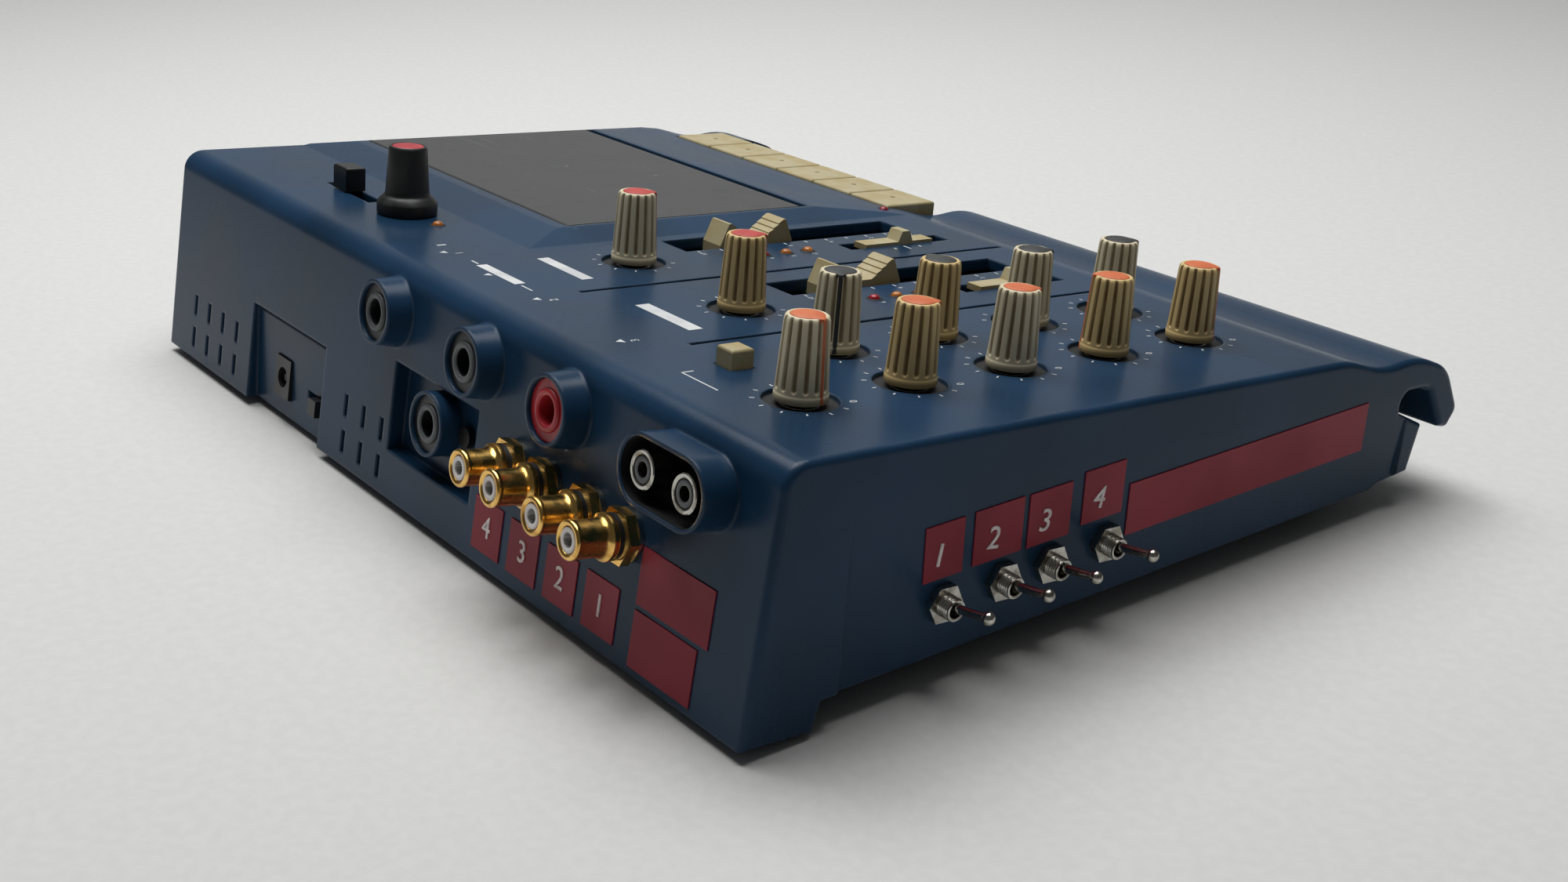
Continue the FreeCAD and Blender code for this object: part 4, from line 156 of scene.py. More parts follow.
def make_camera():
    """A camera turned by roll about its own axis, then pitch from level, then heading from +Y."""
    data = bpy.data.cameras.new("photo_camera")
    data.sensor_fit = "HORIZONTAL"
    data.sensor_width = SENSOR_MM
    data.lens = SENSOR_MM * FOCAL_PIXELS / PHOTO_WIDTH
    data.clip_start = NEAREST_SEEN
    data.clip_end = FARTHEST_SEEN
    camera = bpy.data.objects.new("photo_camera", data)
    turn = (Matrix.Rotation(HEADING, 4, "Z") @ Matrix.Rotation(math.pi / 2 + PITCH, 4, "X")
            @ Matrix.Rotation(ROLL, 4, "Z"))
    eye = placed(PANEL, [[EYE_ACROSS, EYE_BACK, EYE_UP]])[0]
    camera.matrix_world = Matrix.Translation(eye) @ turn
    bpy.context.scene.collection.objects.link(camera)
    bpy.context.scene.camera = camera
    return camera


camera = make_camera()
print("lens", round(camera.data.lens, 2), "mm, eye", tuple(round(v, 4) for v in camera.location))

# %% [markdown]
# # Colours and shader maths
# A finish is a small network of nodes. It could be wired by hand, socket by socket, which soon
# hides what it does. Instead a class wraps an output socket, so that `1 - mask * 0.4` adds its own
# Math nodes. Colours are written in the usual 0 to 255 steps and turned into linear light.

# %% Colours and varying numbers


def linear(red, green, blue):
    """Linear light from 0 to 255 steps: a line near black, then a power of 2.4; alpha is 1."""
    levels = np.array([red, green, blue]) / 255.0
    curve = np.where(levels <= 0.04045, levels / 12.92, ((levels + 0.055) / 1.055) ** 2.4)
    return (*[float(level) for level in curve], 1.0)


class Value:
    """A number that varies over the surface: an output socket on which + - * add Math nodes."""

    def __init__(self, finish, socket):
        self.finish = finish
        self.socket = socket

    def _math(self, operation, first, second):
        return self.finish.node("ShaderNodeMath", {"operation": operation}, {0: first, 1: second})

    def __add__(self, other):
        return self._math("ADD", self, other)

    __radd__ = __add__

    def __sub__(self, other):
        return self._math("SUBTRACT", self, other)

    def __rsub__(self, other):
        return self._math("SUBTRACT", other, self)

    def __mul__(self, other):
        return self._math("MULTIPLY", self, other)

    __rmul__ = __mul__


print("middle grey is", round(linear(128, 128, 128)[0], 3), "in linear light")

# %% [markdown]
# # One class for every finish
# Moulded, plated and painted surfaces share their traits: soft spots, a grain, worn edges, which on
# some finishes also carry a painted highlight. Each could be wired alone, but a class with a method
# for each trait keeps them alike. It finds edges by comparing the true normal with one that is
# averaged over a small radius.

# %% The finish class
MIX_FIRST, MIX_SECOND, MIX_COLOUR = 6, 7, 2  # the Mix node's colour sockets share their names
EDGE_FAINT, EDGE_FULL = 0.01, 0.25


class Finish:
    """One material, built around a Principled shader whose constant sockets are set at once."""

    def __init__(self, name, constants):
        self.material = bpy.data.materials.new(name)
        self.material.use_nodes = True
        self.tree = self.material.node_tree
        self.shader = self.tree.nodes["Principled BSDF"]
        for socket, value in constants.items():
            self.shader.inputs[socket].default_value = value

    def node(self, kind, settings=None, inputs=None, output=0):
        """Any node: its settings first, then the values or links of its sockets."""
        made = self.tree.nodes.new(kind)
        for setting, value in (settings or {}).items():
            setattr(made, setting, value)
        for key, value in (inputs or {}).items():
            self.feed(made.inputs[key], value)
        return Value(self, made.outputs[output])

    def feed(self, socket, value):
        """Gives a socket a link from a Value, or a plain number or colour."""
        if isinstance(value, Value):
            self.tree.links.new(value.socket, socket)
        else:
            socket.default_value = value

    def noise(self, size, detail=2.0, stretch=(1.0, 1.0, 1.0), roughness=0.5):
        """Soft random spots about `size` metres across, drawn out along the axes by `stretch`."""
        place = self.node("ShaderNodeTexCoord", output="Object")
        where = self.node("ShaderNodeMapping", {},
                          {"Vector": place, "Scale": [1.0 / part for part in stretch]})
        return self.node("ShaderNodeTexNoise", {}, {"Vector": where, "Scale": 1.0 / size,
                                                    "Detail": detail, "Roughness": roughness})

    def ramp(self, value, low, high, bottom=0.0, top=1.0):
        """`bottom` below `low`, `top` above `high`, and a smooth step between them."""
        return self.node("ShaderNodeMapRange", {"interpolation_type": "SMOOTHSTEP"},
                         {"Value": value, "From Min": low, "From Max": high,
                          "To Min": bottom, "To Max": top})

    def mix(self, factor, first, second):
        """A colour between two, where a factor of 0 gives the first."""
        return self.node("ShaderNodeMix", {"data_type": "RGBA"},
                         {0: factor, MIX_FIRST: first, MIX_SECOND: second}, output=MIX_COLOUR)

    def relief(self, height, depth, after=None):
        """A bump of `depth` metres where the height value is 1, on top of the normal `after`."""
        inputs = {"Height": height, "Strength": 1.0, "Distance": depth}
        if after is not None:
            inputs["Normal"] = after
        return self.node("ShaderNodeBump", {}, inputs)

    def softened(self, radius):
        """A normal that rounds every edge off by `radius` metres, as a mould does."""
        return self.node("ShaderNodeBevel", {"samples": 6}, {"Radius": radius})

    def wear(self, radius):
        """1 on an edge and 0 on a flat face: one minus how far the averaged normal agrees."""
        rounded = self.node("ShaderNodeBevel", {"samples": 4}, {"Radius": radius})
        plain = self.node("ShaderNodeNewGeometry", output="Normal")
        closeness = self.node("ShaderNodeVectorMath", {"operation": "DOT_PRODUCT"},
                              {0: rounded, 1: plain}, output="Value")
        return self.ramp(1.0 - closeness, EDGE_FAINT, EDGE_FULL)

    def drive(self, sockets):
        """Feeds the shader's own sockets with what varies over the surface."""
        for socket, value in sockets.items():
            self.feed(self.shader.inputs[socket], value)


dressed = set()


def wear_finish(node_names, finish):
    """Puts a finish in place of whatever material the packed nodes came with."""
    for node_name in node_names:
        mesh = nodes[node_name].data
        mesh.materials.clear()
        mesh.materials.append(finish.material)
    dressed.update(node_names)


print("methods:", [name for name in vars(Finish) if not name.startswith("_")])

# %% [markdown]
# # The moulded blue case
# The case is navy plastic with a fine spark-eroded grain, glossy enough that the panel mirrors the
# knobs as long dark streaks. One flat blue would look like a toy. So two close blues and the low
# roughness drift, the edges are painted paler, partly as wear from handling and partly as a painted
# highlight, and the shading rounds every edge.

# %% Blue case finish
NAVY = linear(29, 57, 84)
# Paler navy for the edges: partly wear, partly a painted highlight.
NAVY_EDGE_WEAR_AND_HIGHLIGHT = linear(84, 104, 126)
NAVY_DEEP = linear(23, 48, 71)
MOTTLE_SIZE = 45.0 * MM
SCUFF_SIZE = 12.0 * MM
CASE_GRAIN_SIZE = 0.45 * MM
CASE_GRAIN_DEPTH = 0.012 * MM
EDGE_WEAR_AND_HIGHLIGHT_REACH = 0.9 * MM
MOULD_ROUNDING = 1.2 * MM

case_blue = Finish("case_blue_satin", {"IOR": 1.34, "Specular IOR Level": 0.32})
mottle = case_blue.noise(MOTTLE_SIZE, detail=4.0)
grain = case_blue.noise(CASE_GRAIN_SIZE, detail=1.0)
edge = case_blue.wear(EDGE_WEAR_AND_HIGHLIGHT_REACH)
scuffs = case_blue.noise(SCUFF_SIZE, detail=6.0, stretch=(4.0, 1.0, 1.0), roughness=0.7)
plain_navy = case_blue.mix(case_blue.ramp(mottle, 0.35, 0.65), NAVY_DEEP, NAVY)
# The edges are painted paler: partly wear from handling, partly a painted highlight.
edge_wear_and_highlight = edge * case_blue.ramp(scuffs, 0.42, 0.62, 0.15, 0.6)
case_blue.drive({
    "Base Color": case_blue.mix(edge_wear_and_highlight, plain_navy, NAVY_EDGE_WEAR_AND_HIGHLIGHT),
    "Roughness": case_blue.ramp(mottle, 0.3, 0.7, 0.22, 0.30) - edge * 0.05 + scuffs * 0.04,
    "Normal": case_blue.relief(grain, CASE_GRAIN_DEPTH, after=case_blue.softened(MOULD_ROUNDING)),
})
wear_finish(["top_cover", "bottom_case"], case_blue)
print("case:", case_blue.material.name, "with", len(case_blue.tree.nodes), "nodes")

# %% [markdown]
# # Plastics and rubber
# Keys and fader caps are beige plastic, yellowed in patches; switches and sockets are black. Each
# could have its own network, but all are moulded the same way, so one function makes them.

# %% Plastic finishes
FINE_GRAIN = 0.4 * MM
CORNER_REACH = 0.4 * MM
PATCHY = 0.1
POLISHED = 0.08


def moulded(name, fresh, aged, roughness, grain_depth=0.01 * MM, spots=8.0 * MM):
    """Moulded plastic: two shades in soft patches, a fine grain, and edges rubbed smoother."""
    finish = Finish(name, {"IOR": 1.48})
    patches = finish.noise(spots, detail=3.0)
    fine = finish.noise(FINE_GRAIN, detail=1.0)
    corner = finish.wear(CORNER_REACH)
    spread = finish.ramp(patches, 0.3, 0.7, roughness, roughness + PATCHY)
    finish.drive({
        "Base Color": finish.mix(finish.ramp(patches, 0.35, 0.68), fresh, aged),
        "Roughness": spread - corner * POLISHED,
        "Normal": finish.relief(fine, grain_depth),
    })
    return finish


beige = moulded("beige_plastic", linear(174, 164, 130), linear(164, 148, 106), 0.38)
black = moulded("black_plastic", linear(16, 17, 18), linear(34, 35, 36), 0.34)
# Near black for the insides of hollows and gaps: painted shade.
shade_black = moulded("painted_shade_black", linear(9, 9, 10), linear(15, 15, 16), 0.6)
rubber = moulded("foot_rubber", linear(20, 20, 20), linear(32, 31, 30), 0.75, 0.03 * MM)
red = moulded("red_plastic", linear(186, 46, 54), linear(158, 36, 46), 0.3)
print("plastics:", beige.material.name, black.material.name, red.material.name)

# %% [markdown]
# # Metals
# The phono sockets are gold plated, the toggle switches nickel plated, the transport is steel and
# the screws are dark zinc. A perfect mirror would look too clean, so turning marks are a faint bump
# and touched spots are duller. The circuit boards are green lacquer over stripes of copper.

# %% Metal finishes
TOUCHED_SIZE = 3.0 * MM
TURNING_MARKS = 0.6 * MM
TURNING_DEPTH = 0.008 * MM
DULLED = 0.16
TRACK_SIZE = 4.0 * MM
TRACK_DEPTH = 0.04 * MM


def plated(name, colour, tarnish, roughness):
    """Plated metal: bright, with fine turning marks and a duller tone where it has been touched."""
    finish = Finish(name, {"Metallic": 1.0, "IOR": 1.5})
    touched = finish.noise(TOUCHED_SIZE, detail=4.0)
    lathe = finish.noise(TURNING_MARKS, detail=2.0, stretch=(1.0, 1.0, 0.2))
    finish.drive({
        "Base Color": finish.mix(finish.ramp(touched, 0.4, 0.7), colour, tarnish),
        "Roughness": finish.ramp(touched, 0.35, 0.7, roughness, roughness + DULLED),
        "Normal": finish.relief(lathe, TURNING_DEPTH),
    })
    return finish


nickel = plated("nickel_plate", linear(196, 194, 186), linear(140, 136, 124), 0.16)
steel = plated("steel_sheet", linear(150, 152, 154), linear(108, 108, 106), 0.34)
gold = plated("gold_plate", linear(242, 196, 112), linear(206, 158, 84), 0.17)
dark_zinc = plated("dark_zinc", linear(82, 80, 78), linear(48, 47, 46), 0.35)

board = Finish("circuit_board", {"IOR": 1.5})
tracks = board.noise(TRACK_SIZE, detail=1.0, stretch=(6.0, 1.0, 1.0))
board.drive({
    "Base Color": board.mix(board.ramp(tracks, 0.49, 0.51),
                            linear(26, 68, 40), linear(54, 104, 62)),
    "Roughness": board.ramp(tracks, 0.45, 0.55, 0.35, 0.5),
    "Normal": board.relief(tracks, TRACK_DEPTH),
})
print("metals:", nickel.material.name, steel.material.name, gold.material.name)

# %% [markdown]
# # Dress the packed pieces
# Every CAD piece keeps its shape and gets a finish. They could be set one by one, but a table shows
# at a glance what is made of what. The lid and the label tape get their own finishes further on.

# %% Dress the packed nodes
keys = [name for name in nodes if name.endswith("_key")]
keys.sort(key=lambda name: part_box(name)[0][0])
light_knobs = [name for name in nodes if "knob" in name and name != "pitch_knob"]
levers = [name for name in nodes if name.startswith("toggle_lever")]
for finish, names in (
        (beige, keys + light_knobs),
        (beige, ["mono_button", "fader_cap_1", "fader_cap_2", "input_switch_1", "input_switch_2"]),
        (black, ["pitch_knob", "speed_switch", "power_slide", "dc_inlet", "input_jacks"]),
        (black, ["control_bodies", "rca_insulators", "cassette_well"]),
        (black, ["supply_spindle", "takeup_spindle"]),
        (rubber, ["rubber_feet", "pinch_roller"]),
        (red, ["phones_jack", "panel_leds"]),
        (nickel, levers + ["toggle_switches", "toggle_nuts", "line_out_jacks", "rca_washers"]),
        (nickel, ["tape_head", "erase_head"]),
        (gold, ["rca_shells", "rca_nuts"]),
        (steel, ["transport_chassis", "head_bridge", "capstan_flywheel", "drive_motor"]),
        (steel, ["motor_pulley"]),
        (dark_zinc, ["case_screws"]),
        (board, ["main_board", "jack_board"])):
    wear_finish(names, finish)
print("dressed so far:", len(dressed), "of", len(nodes))

# %% [markdown]
# # Surfaces from numpy
# A plain cylinder for a knob looks like a toy, and modelling by hand can't be read or changed
# later. So the finer pieces are grids of points worked out as whole arrays: a profile turned round
# an axis, or a strip carried along a path. One helper turns such grids into a closed mesh, merges
# the points that meet at a pole or a seam, points the faces outwards, and lets it ride on its body.

# %% Grids of points


def grid_faces(rows, columns, wrap_rows=False, wrap_columns=True):
    """The four-sided faces between neighbouring rows and columns of a grid of points."""
    index = np.arange(rows * columns).reshape(rows, columns)
    if wrap_columns:
        index = np.concatenate([index, index[:, :1]], axis=1)
    if wrap_rows:
        index = np.concatenate([index, index[:1]], axis=0)
    return np.stack([index[:-1, :-1], index[:-1, 1:], index[1:, 1:], index[1:, :-1]],
                    axis=-1).reshape(-1, 4).tolist()


def surface(matrix, grid, closed=False):
    """A (points, faces) part: a grid in a local frame, its columns and perhaps its rows a ring."""
    return placed(matrix, grid.reshape(-1, 3)), grid_faces(*grid.shape[:2], wrap_rows=closed)


def full_turn(columns):
    """Equal steps of angle round a circle, without the last one that meets the first."""
    return np.linspace(0.0, 2.0 * math.pi, columns, endpoint=False)


def turned(matrix, profile, columns=48, closed=False):
    """A part revolved: x = r cos t, y = r sin t, z = z for each (r, z) in mm and each turn t."""
    profile = np.asarray(profile, dtype=float) * MM
    turn = full_turn(columns)
    grid = np.stack([profile[:, :1] * np.cos(turn), profile[:, :1] * np.sin(turn),
                     np.repeat(profile[:, 1:], columns, axis=1)], axis=-1)
    return surface(matrix, grid, closed)


print("a strip of 2 by 4 points has", len(grid_faces(2, 4)), "faces")

# %% One piece from its parts
MERGE_DISTANCE = 0.0000005


def piece(name, parts, finish, body, sharp=40.0, marks=None, stands_for=()):
    """One object from several (points, faces) parts, whose later corners count on from the earlier
    ones. `marks` is one number a point, which the finish can read as the attribute `mark`."""
    faces, start = [], 0
    for part_points, part_faces in parts:
        faces += [[corner + start for corner in face] for face in part_faces]
        start += len(part_points)
    mesh = bpy.data.meshes.new(name)
    mesh.from_pydata(np.concatenate([part_points for part_points, part_faces in parts]), [], faces)
    if marks is not None:
        layer = mesh.attributes.new("mark", "FLOAT", "POINT")
        layer.data.foreach_set("value", np.asarray(marks, dtype=np.float32).ravel())
    work = bmesh.new()
    work.from_mesh(mesh)
    bmesh.ops.remove_doubles(work, verts=work.verts, dist=MERGE_DISTANCE)
    bmesh.ops.recalc_face_normals(work, faces=work.faces)
    work.to_mesh(mesh)
    work.free()
    mesh.polygons.foreach_set("use_smooth", np.ones(len(mesh.polygons), dtype=bool))
    mesh.set_sharp_from_angle(angle=math.radians(sharp))
    mesh.materials.append(finish.material)
    thing = bpy.data.objects.new(name, mesh)
    bpy.context.scene.collection.objects.link(thing)
    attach(thing, body)
    if stands_for:
        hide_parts(*stands_for)
    return thing


print("points closer than", MERGE_DISTANCE, "m become one")

# %% [markdown]
# # Fluted knobs
# Each knob is a tapered cap of aged beige plastic with fourteen flutes that end in small scoops
# above a plain skirt. A coloured insert lies in its top, reaches the rim as a tongue, and runs on
# down the side as the pointer. Flutes could be cut out with booleans, which leaves ragged faces.
# Here the cap is one grid whose radius depends on the height and on the turn, and the same formula
# gives an attribute that is 1 in the flutes, where dust and shade gather.

# %% The cap
FLUTES = 14
FLUTE_STEPS = 16
FLUTE_DEPTH = 0.66
FLUTE_FOOT = 2.35
FLUTE_LIMIT = 0.05
FLUTE_CURVE = 0.6
SCOOP_DELAY = 0.6
SCOOP_HEIGHT = 0.45
CAP_PROFILE = np.array([
    (0.0, 0.15), (5.2, 0.15), (5.2, 0.0), (5.75, 0.0), (5.85, 0.12), (5.85, 1.45), (5.80, 1.62),
    (5.72, 1.75), (5.70, 2.1), (5.69, 2.3), (5.68, 2.45), (5.67, 2.6), (5.66, 2.75), (5.65, 2.9),
    (5.64, 3.1), (5.62, 3.4), (5.58, 4.2), (5.47, 6.2), (5.33, 8.8), (5.19, 11.4), (5.05, 14.0),
    (4.93, 16.2), (4.87, 17.0), (4.80, 17.45), (4.66, 17.82), (4.46, 18.06), (4.22, 18.17),
    (3.98, 18.18), (3.76, 18.12), (3.66, 17.98), (3.64, 17.5), (0.0, 17.5)])
CAP_DEPTH = np.interp(CAP_PROFILE[:, 1],
                      [0.0, 17.0, 17.6, 18.0, 18.2], [1.0, 1.0, 0.75, 0.25, 0.05])
SKIRT_ROWS = 7
CROWN_ROWS = 5
CAP_DEPTH[:SKIRT_ROWS] = 0.0
CAP_DEPTH[-CROWN_ROWS:] = 0.0


def cap_surface():
    """Radius = profile radius - depth * flute, where flute is a rounded valley of the turn, times a
    smooth step of the height that starts later beside the valley than in its middle."""
    turn = full_turn(FLUTES * FLUTE_STEPS)
    valley = (-FLUTE_LIMIT - np.cos(FLUTES * turn)) / (1.0 - FLUTE_LIMIT)
    valley = np.clip(valley, 0.0, 1.0) ** FLUTE_CURVE
    radius, height = CAP_PROFILE[:, :1], CAP_PROFILE[:, 1:]
    start = FLUTE_FOOT + SCOOP_DELAY * (1.0 - valley)
    rise = np.clip((height - start) / SCOOP_HEIGHT, 0.0, 1.0)
    flute = valley * rise * rise * (3.0 - 2.0 * rise) * CAP_DEPTH[:, None]
    reach = radius - FLUTE_DEPTH * flute
    points = np.stack([reach * np.cos(turn), reach * np.sin(turn),
                       np.broadcast_to(height, reach.shape)], axis=-1) * MM
    return points, flute


cap_points, cap_marks = cap_surface()
print("cap:", cap_points.shape[0] * cap_points.shape[1], "points")

# %% The insert and the pointer
INSERT_COLUMNS = 120
INSERT_RADIUS = 3.62
TONGUE_REACH = 1.18
TONGUE_WIDTH = 0.36
POINTER_WIDTH = 0.95
DOME = np.array([(0.0, 18.78), (0.25, 18.75), (0.5, 18.66), (0.72, 18.52), (0.88, 18.38),
                 (0.96, 18.28), (0.995, 18.2), (1.0, 18.1), (1.0, 17.4)])
POINTER_LINE = np.array([(4.4, 17.6), (4.4, 18.1), (4.5, 18.26), (4.74, 18.2), (4.90, 18.0),
                         (4.96, 17.6), (5.12, 14.0), (5.34, 10.0), (5.55, 6.0), (5.76, 2.4),
                         (5.83, 1.6), (5.92, 1.3), (5.92, 0.2), (5.3, 0.15)])
POINTER_SECTION = np.array([(0.0, 0.8), (-0.5, 0.8), (-0.5, 0.07), (-0.25, 0.015), (0.0, 0.0),
                            (0.25, 0.015), (0.5, 0.07), (0.5, 0.8)])


def insert_surface():
    """A shallow dome of (share of the edge radius, height) rows, whose edge swells to the rim of
    the cap in one narrow tongue: radius + reach * exp(-(angle / width) squared)."""
    turn = full_turn(INSERT_COLUMNS)
    away = np.minimum(turn, 2.0 * math.pi - turn)
    rim = INSERT_RADIUS + TONGUE_REACH * np.exp(-(away / TONGUE_WIDTH) ** 2)
    reach = DOME[:, :1] * rim
    return np.stack([reach * np.cos(turn), reach * np.sin(turn),
                     np.broadcast_to(DOME[:, 1:], reach.shape)], axis=-1) * MM


def pointer_surface():
    """A section of (share of the width, sink) points carried down a line of (radius, height)
    points: x = radius - sink, y = share * width, closed to a point at each end."""
    radius, height = POINTER_LINE[:, :1], POINTER_LINE[:, 1:]
    side, sink = POINTER_SECTION.T
    shape = (len(POINTER_LINE), len(POINTER_SECTION))
    points = np.stack([radius - sink, np.broadcast_to(side * POINTER_WIDTH, shape),
                       np.broadcast_to(height, shape)], axis=-1) * MM
    points[0] = points[0].mean(axis=0)
    points[-1] = points[-1].mean(axis=0)
    return points


insert_points = insert_surface()
pointer_points = pointer_surface()
print("insert and pointer:", insert_points.shape[:2], pointer_points.shape[:2])

# %% [markdown]
# # Knob finishes
# The ridges of the caps are pale, with a paler rim that is partly wear from turning fingers and
# partly a painted highlight, and the flutes are painted darker: brown with dust, and painted shade.
# That could be painted as a picture; the attribute of the cap's own formula does it without one,
# and always fits the flutes. Some caps are warmer in tone than others.

# %% Knob finishes
# Colour of the paler rims: partly wear, partly a painted highlight.
RIM_WEAR_AND_HIGHLIGHT = linear(222, 212, 184)
INSERT_TEXTURE = (0.5, 0.006 * MM, 4.0 * MM)  # roughness, grain depth, size of the spots


def cap_finish(name, ridge, flute):
    """Ridge colour to flute colour by the mark, in uneven patches, with a paler rim. The flute
    colour is dust and painted shade; the paler rim is wear and a painted highlight.
    """
    finish = Finish(name, {"IOR": 1.46})
    patches = finish.noise(6.0 * MM, detail=3.0)
    fine = finish.noise(FINE_GRAIN, detail=1.0)
    valley = finish.node("ShaderNodeAttribute", {"attribute_name": "mark"}, output="Fac")
    rim_wear_and_highlight = finish.wear(CORNER_REACH)
    # Darker in the flutes: dust and painted shade; paler on the rim: wear and a painted highlight.
    flute_dust_and_shade = finish.ramp(valley, 0.15, 0.95) * finish.ramp(patches, 0.3, 0.7, 0.75, 1.0)
    finish.drive({
        "Base Color": finish.mix(rim_wear_and_highlight * 0.35, finish.mix(flute_dust_and_shade, ridge, flute), RIM_WEAR_AND_HIGHLIGHT),
        "Roughness": finish.ramp(valley, 0.2, 0.9, 0.42, 0.6) + patches * 0.06,
        "Normal": finish.relief(fine, 0.008 * MM),
    })
    return finish


# The second colour of each cap is for the flutes: dust and painted shade.
cap_grey = cap_finish("knob_plastic_grey", linear(214, 203, 172), linear(132, 116, 86))
cap_warm = cap_finish("knob_plastic_warm", linear(208, 182, 126), linear(114, 88, 48))
insert_orange = moulded("insert_orange", linear(204, 108, 62), linear(192, 96, 52), *INSERT_TEXTURE)
insert_red = moulded("insert_red", linear(182, 66, 60), linear(170, 58, 54), *INSERT_TEXTURE)
insert_dark = moulded("insert_dark", linear(52, 54, 54), linear(44, 46, 46), *INSERT_TEXTURE)
print("caps:", cap_grey.material.name, cap_warm.material.name)

# %% [markdown]
# # Build the knobs
# A knob has to turn about its own joint. It could be placed by measuring the photograph, but then
# it would wobble as it turns. So each one is built on its joint's line, with its pointer where the
# joint's range says that its rest lies, and replaces the plain CAD knob. Under it a near-black disc
# lies on the floor of the round hollow that the panel has there, as painted shade.

# %% Build the knobs
SCALE_START = -120.0
KNOB_RISE = 0.2
KNOB_WELL = [(4.4, -0.99), (8.28, -0.99), (8.28, -0.93), (4.4, -0.93)]
KNOB_LOOK = {
    "phones_knob": (cap_grey, insert_orange), "level_knob_1": (cap_warm, insert_orange),
    "level_knob_2": (cap_grey, insert_orange), "level_knob_3": (cap_warm, insert_orange),
    "level_knob_4": (cap_warm, insert_orange), "pan_knob_1": (cap_grey, insert_dark),
    "pan_knob_2": (cap_warm, insert_dark), "pan_knob_3": (cap_grey, insert_dark),
    "pan_knob_4": (cap_grey, insert_dark), "trim_knob_1": (cap_warm, insert_red),
    "trim_knob_2": (cap_grey, insert_red),
}


def joint_frame(label):
    """A frame on the panel where a knob's joint meets it."""
    there = PANEL.copy()
    there[:3, 3] = joints[label + "_turn"]["pos_m"]
    return there


def knob_frame(label):
    """The knob's own frame: on its joint's line, with x along its pointer at rest."""
    turn = math.radians(SCALE_START + joints[label + "_turn"]["range_deg"][0])
    return spot(joint_frame(label), 0.0, 0.0, KNOB_RISE, turn)


for label, (cap, insert) in KNOB_LOOK.items():
    here = knob_frame(label)
    piece(label + "_cap", [surface(here, cap_points)], cap, label, sharp=50.0,
          marks=cap_marks, stands_for=[label])
    piece(label + "_insert", [surface(here, insert_points), surface(here, pointer_points)], insert,
          label)
    # A near-black disc on the floor of the hollow: painted shade.
    piece(label + "_well", [turned(spot(here, 0.0, 0.0, -KNOB_RISE), KNOB_WELL, closed=True)],
          shade_black, "case")
print("knobs:", len(KNOB_LOOK))

# %% [markdown]
# # Pitch knob
# The tape speed trimmer is smoother: a glossy black cone on a broad flange with a chamfer, and a
# red disc set into its top. Two stacked cylinders would show a hard step, so its outline is one
# profile with small rounds, turned about the joint's line.

# %% Build the pitch knob
PITCH_PROFILE = [
    (0.0, 0.0), (7.9, 0.0), (8.15, 0.15), (8.2, 0.4), (8.2, 2.9), (8.05, 3.2), (7.1, 4.35),
    (6.75, 4.7), (6.35, 5.0), (6.08, 5.4), (5.95, 5.9), (5.9, 6.5), (5.55, 12.0), (5.25, 17.6),
    (5.12, 18.05), (4.85, 18.35), (4.5, 18.45), (4.35, 18.4), (4.35, 17.9), (0.0, 17.9)]
PITCH_CAP = [(0.0, 18.75), (2.2, 18.68), (3.6, 18.5), (4.15, 18.38), (4.32, 18.2), (4.32, 17.7),
             (0.0, 17.7)]
here = knob_frame("pitch_knob")
piece("pitch_knob_body", [turned(here, PITCH_PROFILE, 72)], black, "pitch_knob",
      sharp=30.0, stands_for=["pitch_knob"])
piece("pitch_knob_disc", [turned(here, PITCH_CAP, 64)], red, "pitch_knob")
print("pitch knob stands", PITCH_CAP[0][1], "mm high")

# %% [markdown]
# # White marks on the panel
# The panel is screen printed with ticks, plain numbers, bars and small arrows. A pattern in the
# panel's material would blur, and paint has an edge of its own. So each mark is a very thin raised
# plate, and the numbers come from Blender's own font.

# %% Shapes for the marks
PAINT = 0.05
SUNK = -0.02
FONT_CURVES = 3


def plate(matrix, outline, thickness=PAINT):
    """A (points, faces) part: an outline in millimetres, as a thin plate on its local frame."""
    outline = np.asarray(outline, dtype=float)
    count = len(outline)
    low = np.concatenate([outline, np.full((count, 1), SUNK)], axis=1)
    high = np.concatenate([outline, np.full((count, 1), thickness)], axis=1)
    points = placed(matrix, np.concatenate([low, high]) * MM)
    step = np.arange(count)
    after = (step + 1) % count
    sides = np.stack([step, after, after + count, step + count], axis=-1).tolist()
    return points, sides + [(step + count).tolist(), step[::-1].tolist()]


def bar(matrix, length, width):
    """A rectangle centred on its local frame."""
    half_length, half_width = length / 2, width / 2
    return plate(matrix, [(-half_length, -half_width), (half_length, -half_width),
                          (half_length, half_width), (-half_length, half_width)])


def written(text, matrix, size, thickness=PAINT, bolder=0.0):
    """Plain numbers as a raised mesh, centred on a local frame."""
    curve = bpy.data.curves.new("number", "FONT")
    curve.body = text
    curve.size = size * MM
    curve.align_x = "CENTER"
    curve.align_y = "CENTER"
    curve.extrude = thickness * MM
    curve.offset = bolder * MM
    curve.resolution_u = FONT_CURVES
    holder = bpy.data.objects.new("number", curve)
    bpy.context.scene.collection.objects.link(holder)
    bpy.context.view_layer.update()
    graph = bpy.context.evaluated_depsgraph_get()
    flat = bpy.data.meshes.new_from_object(holder.evaluated_get(graph))
    points = np.empty(len(flat.vertices) * 3)
    flat.vertices.foreach_get("co", points)
    faces = [list(polygon.vertices) for polygon in flat.polygons]
    bpy.data.objects.remove(holder)
    bpy.data.curves.remove(curve)
    bpy.data.meshes.remove(flat)
    return placed(matrix, points.reshape(-1, 3)), faces


print("a bar has", len(bar(PANEL, 2.0, 1.0)[1]), "faces")

# %% [markdown]
# # Scales of the knobs
# A knob of this kind turns 300 degrees, and its scale has eleven marks. The level controls carry a
# number at each end of the scale, the others only ticks. The loop walks round each joint, so the
# scales stay with their knobs if those move.

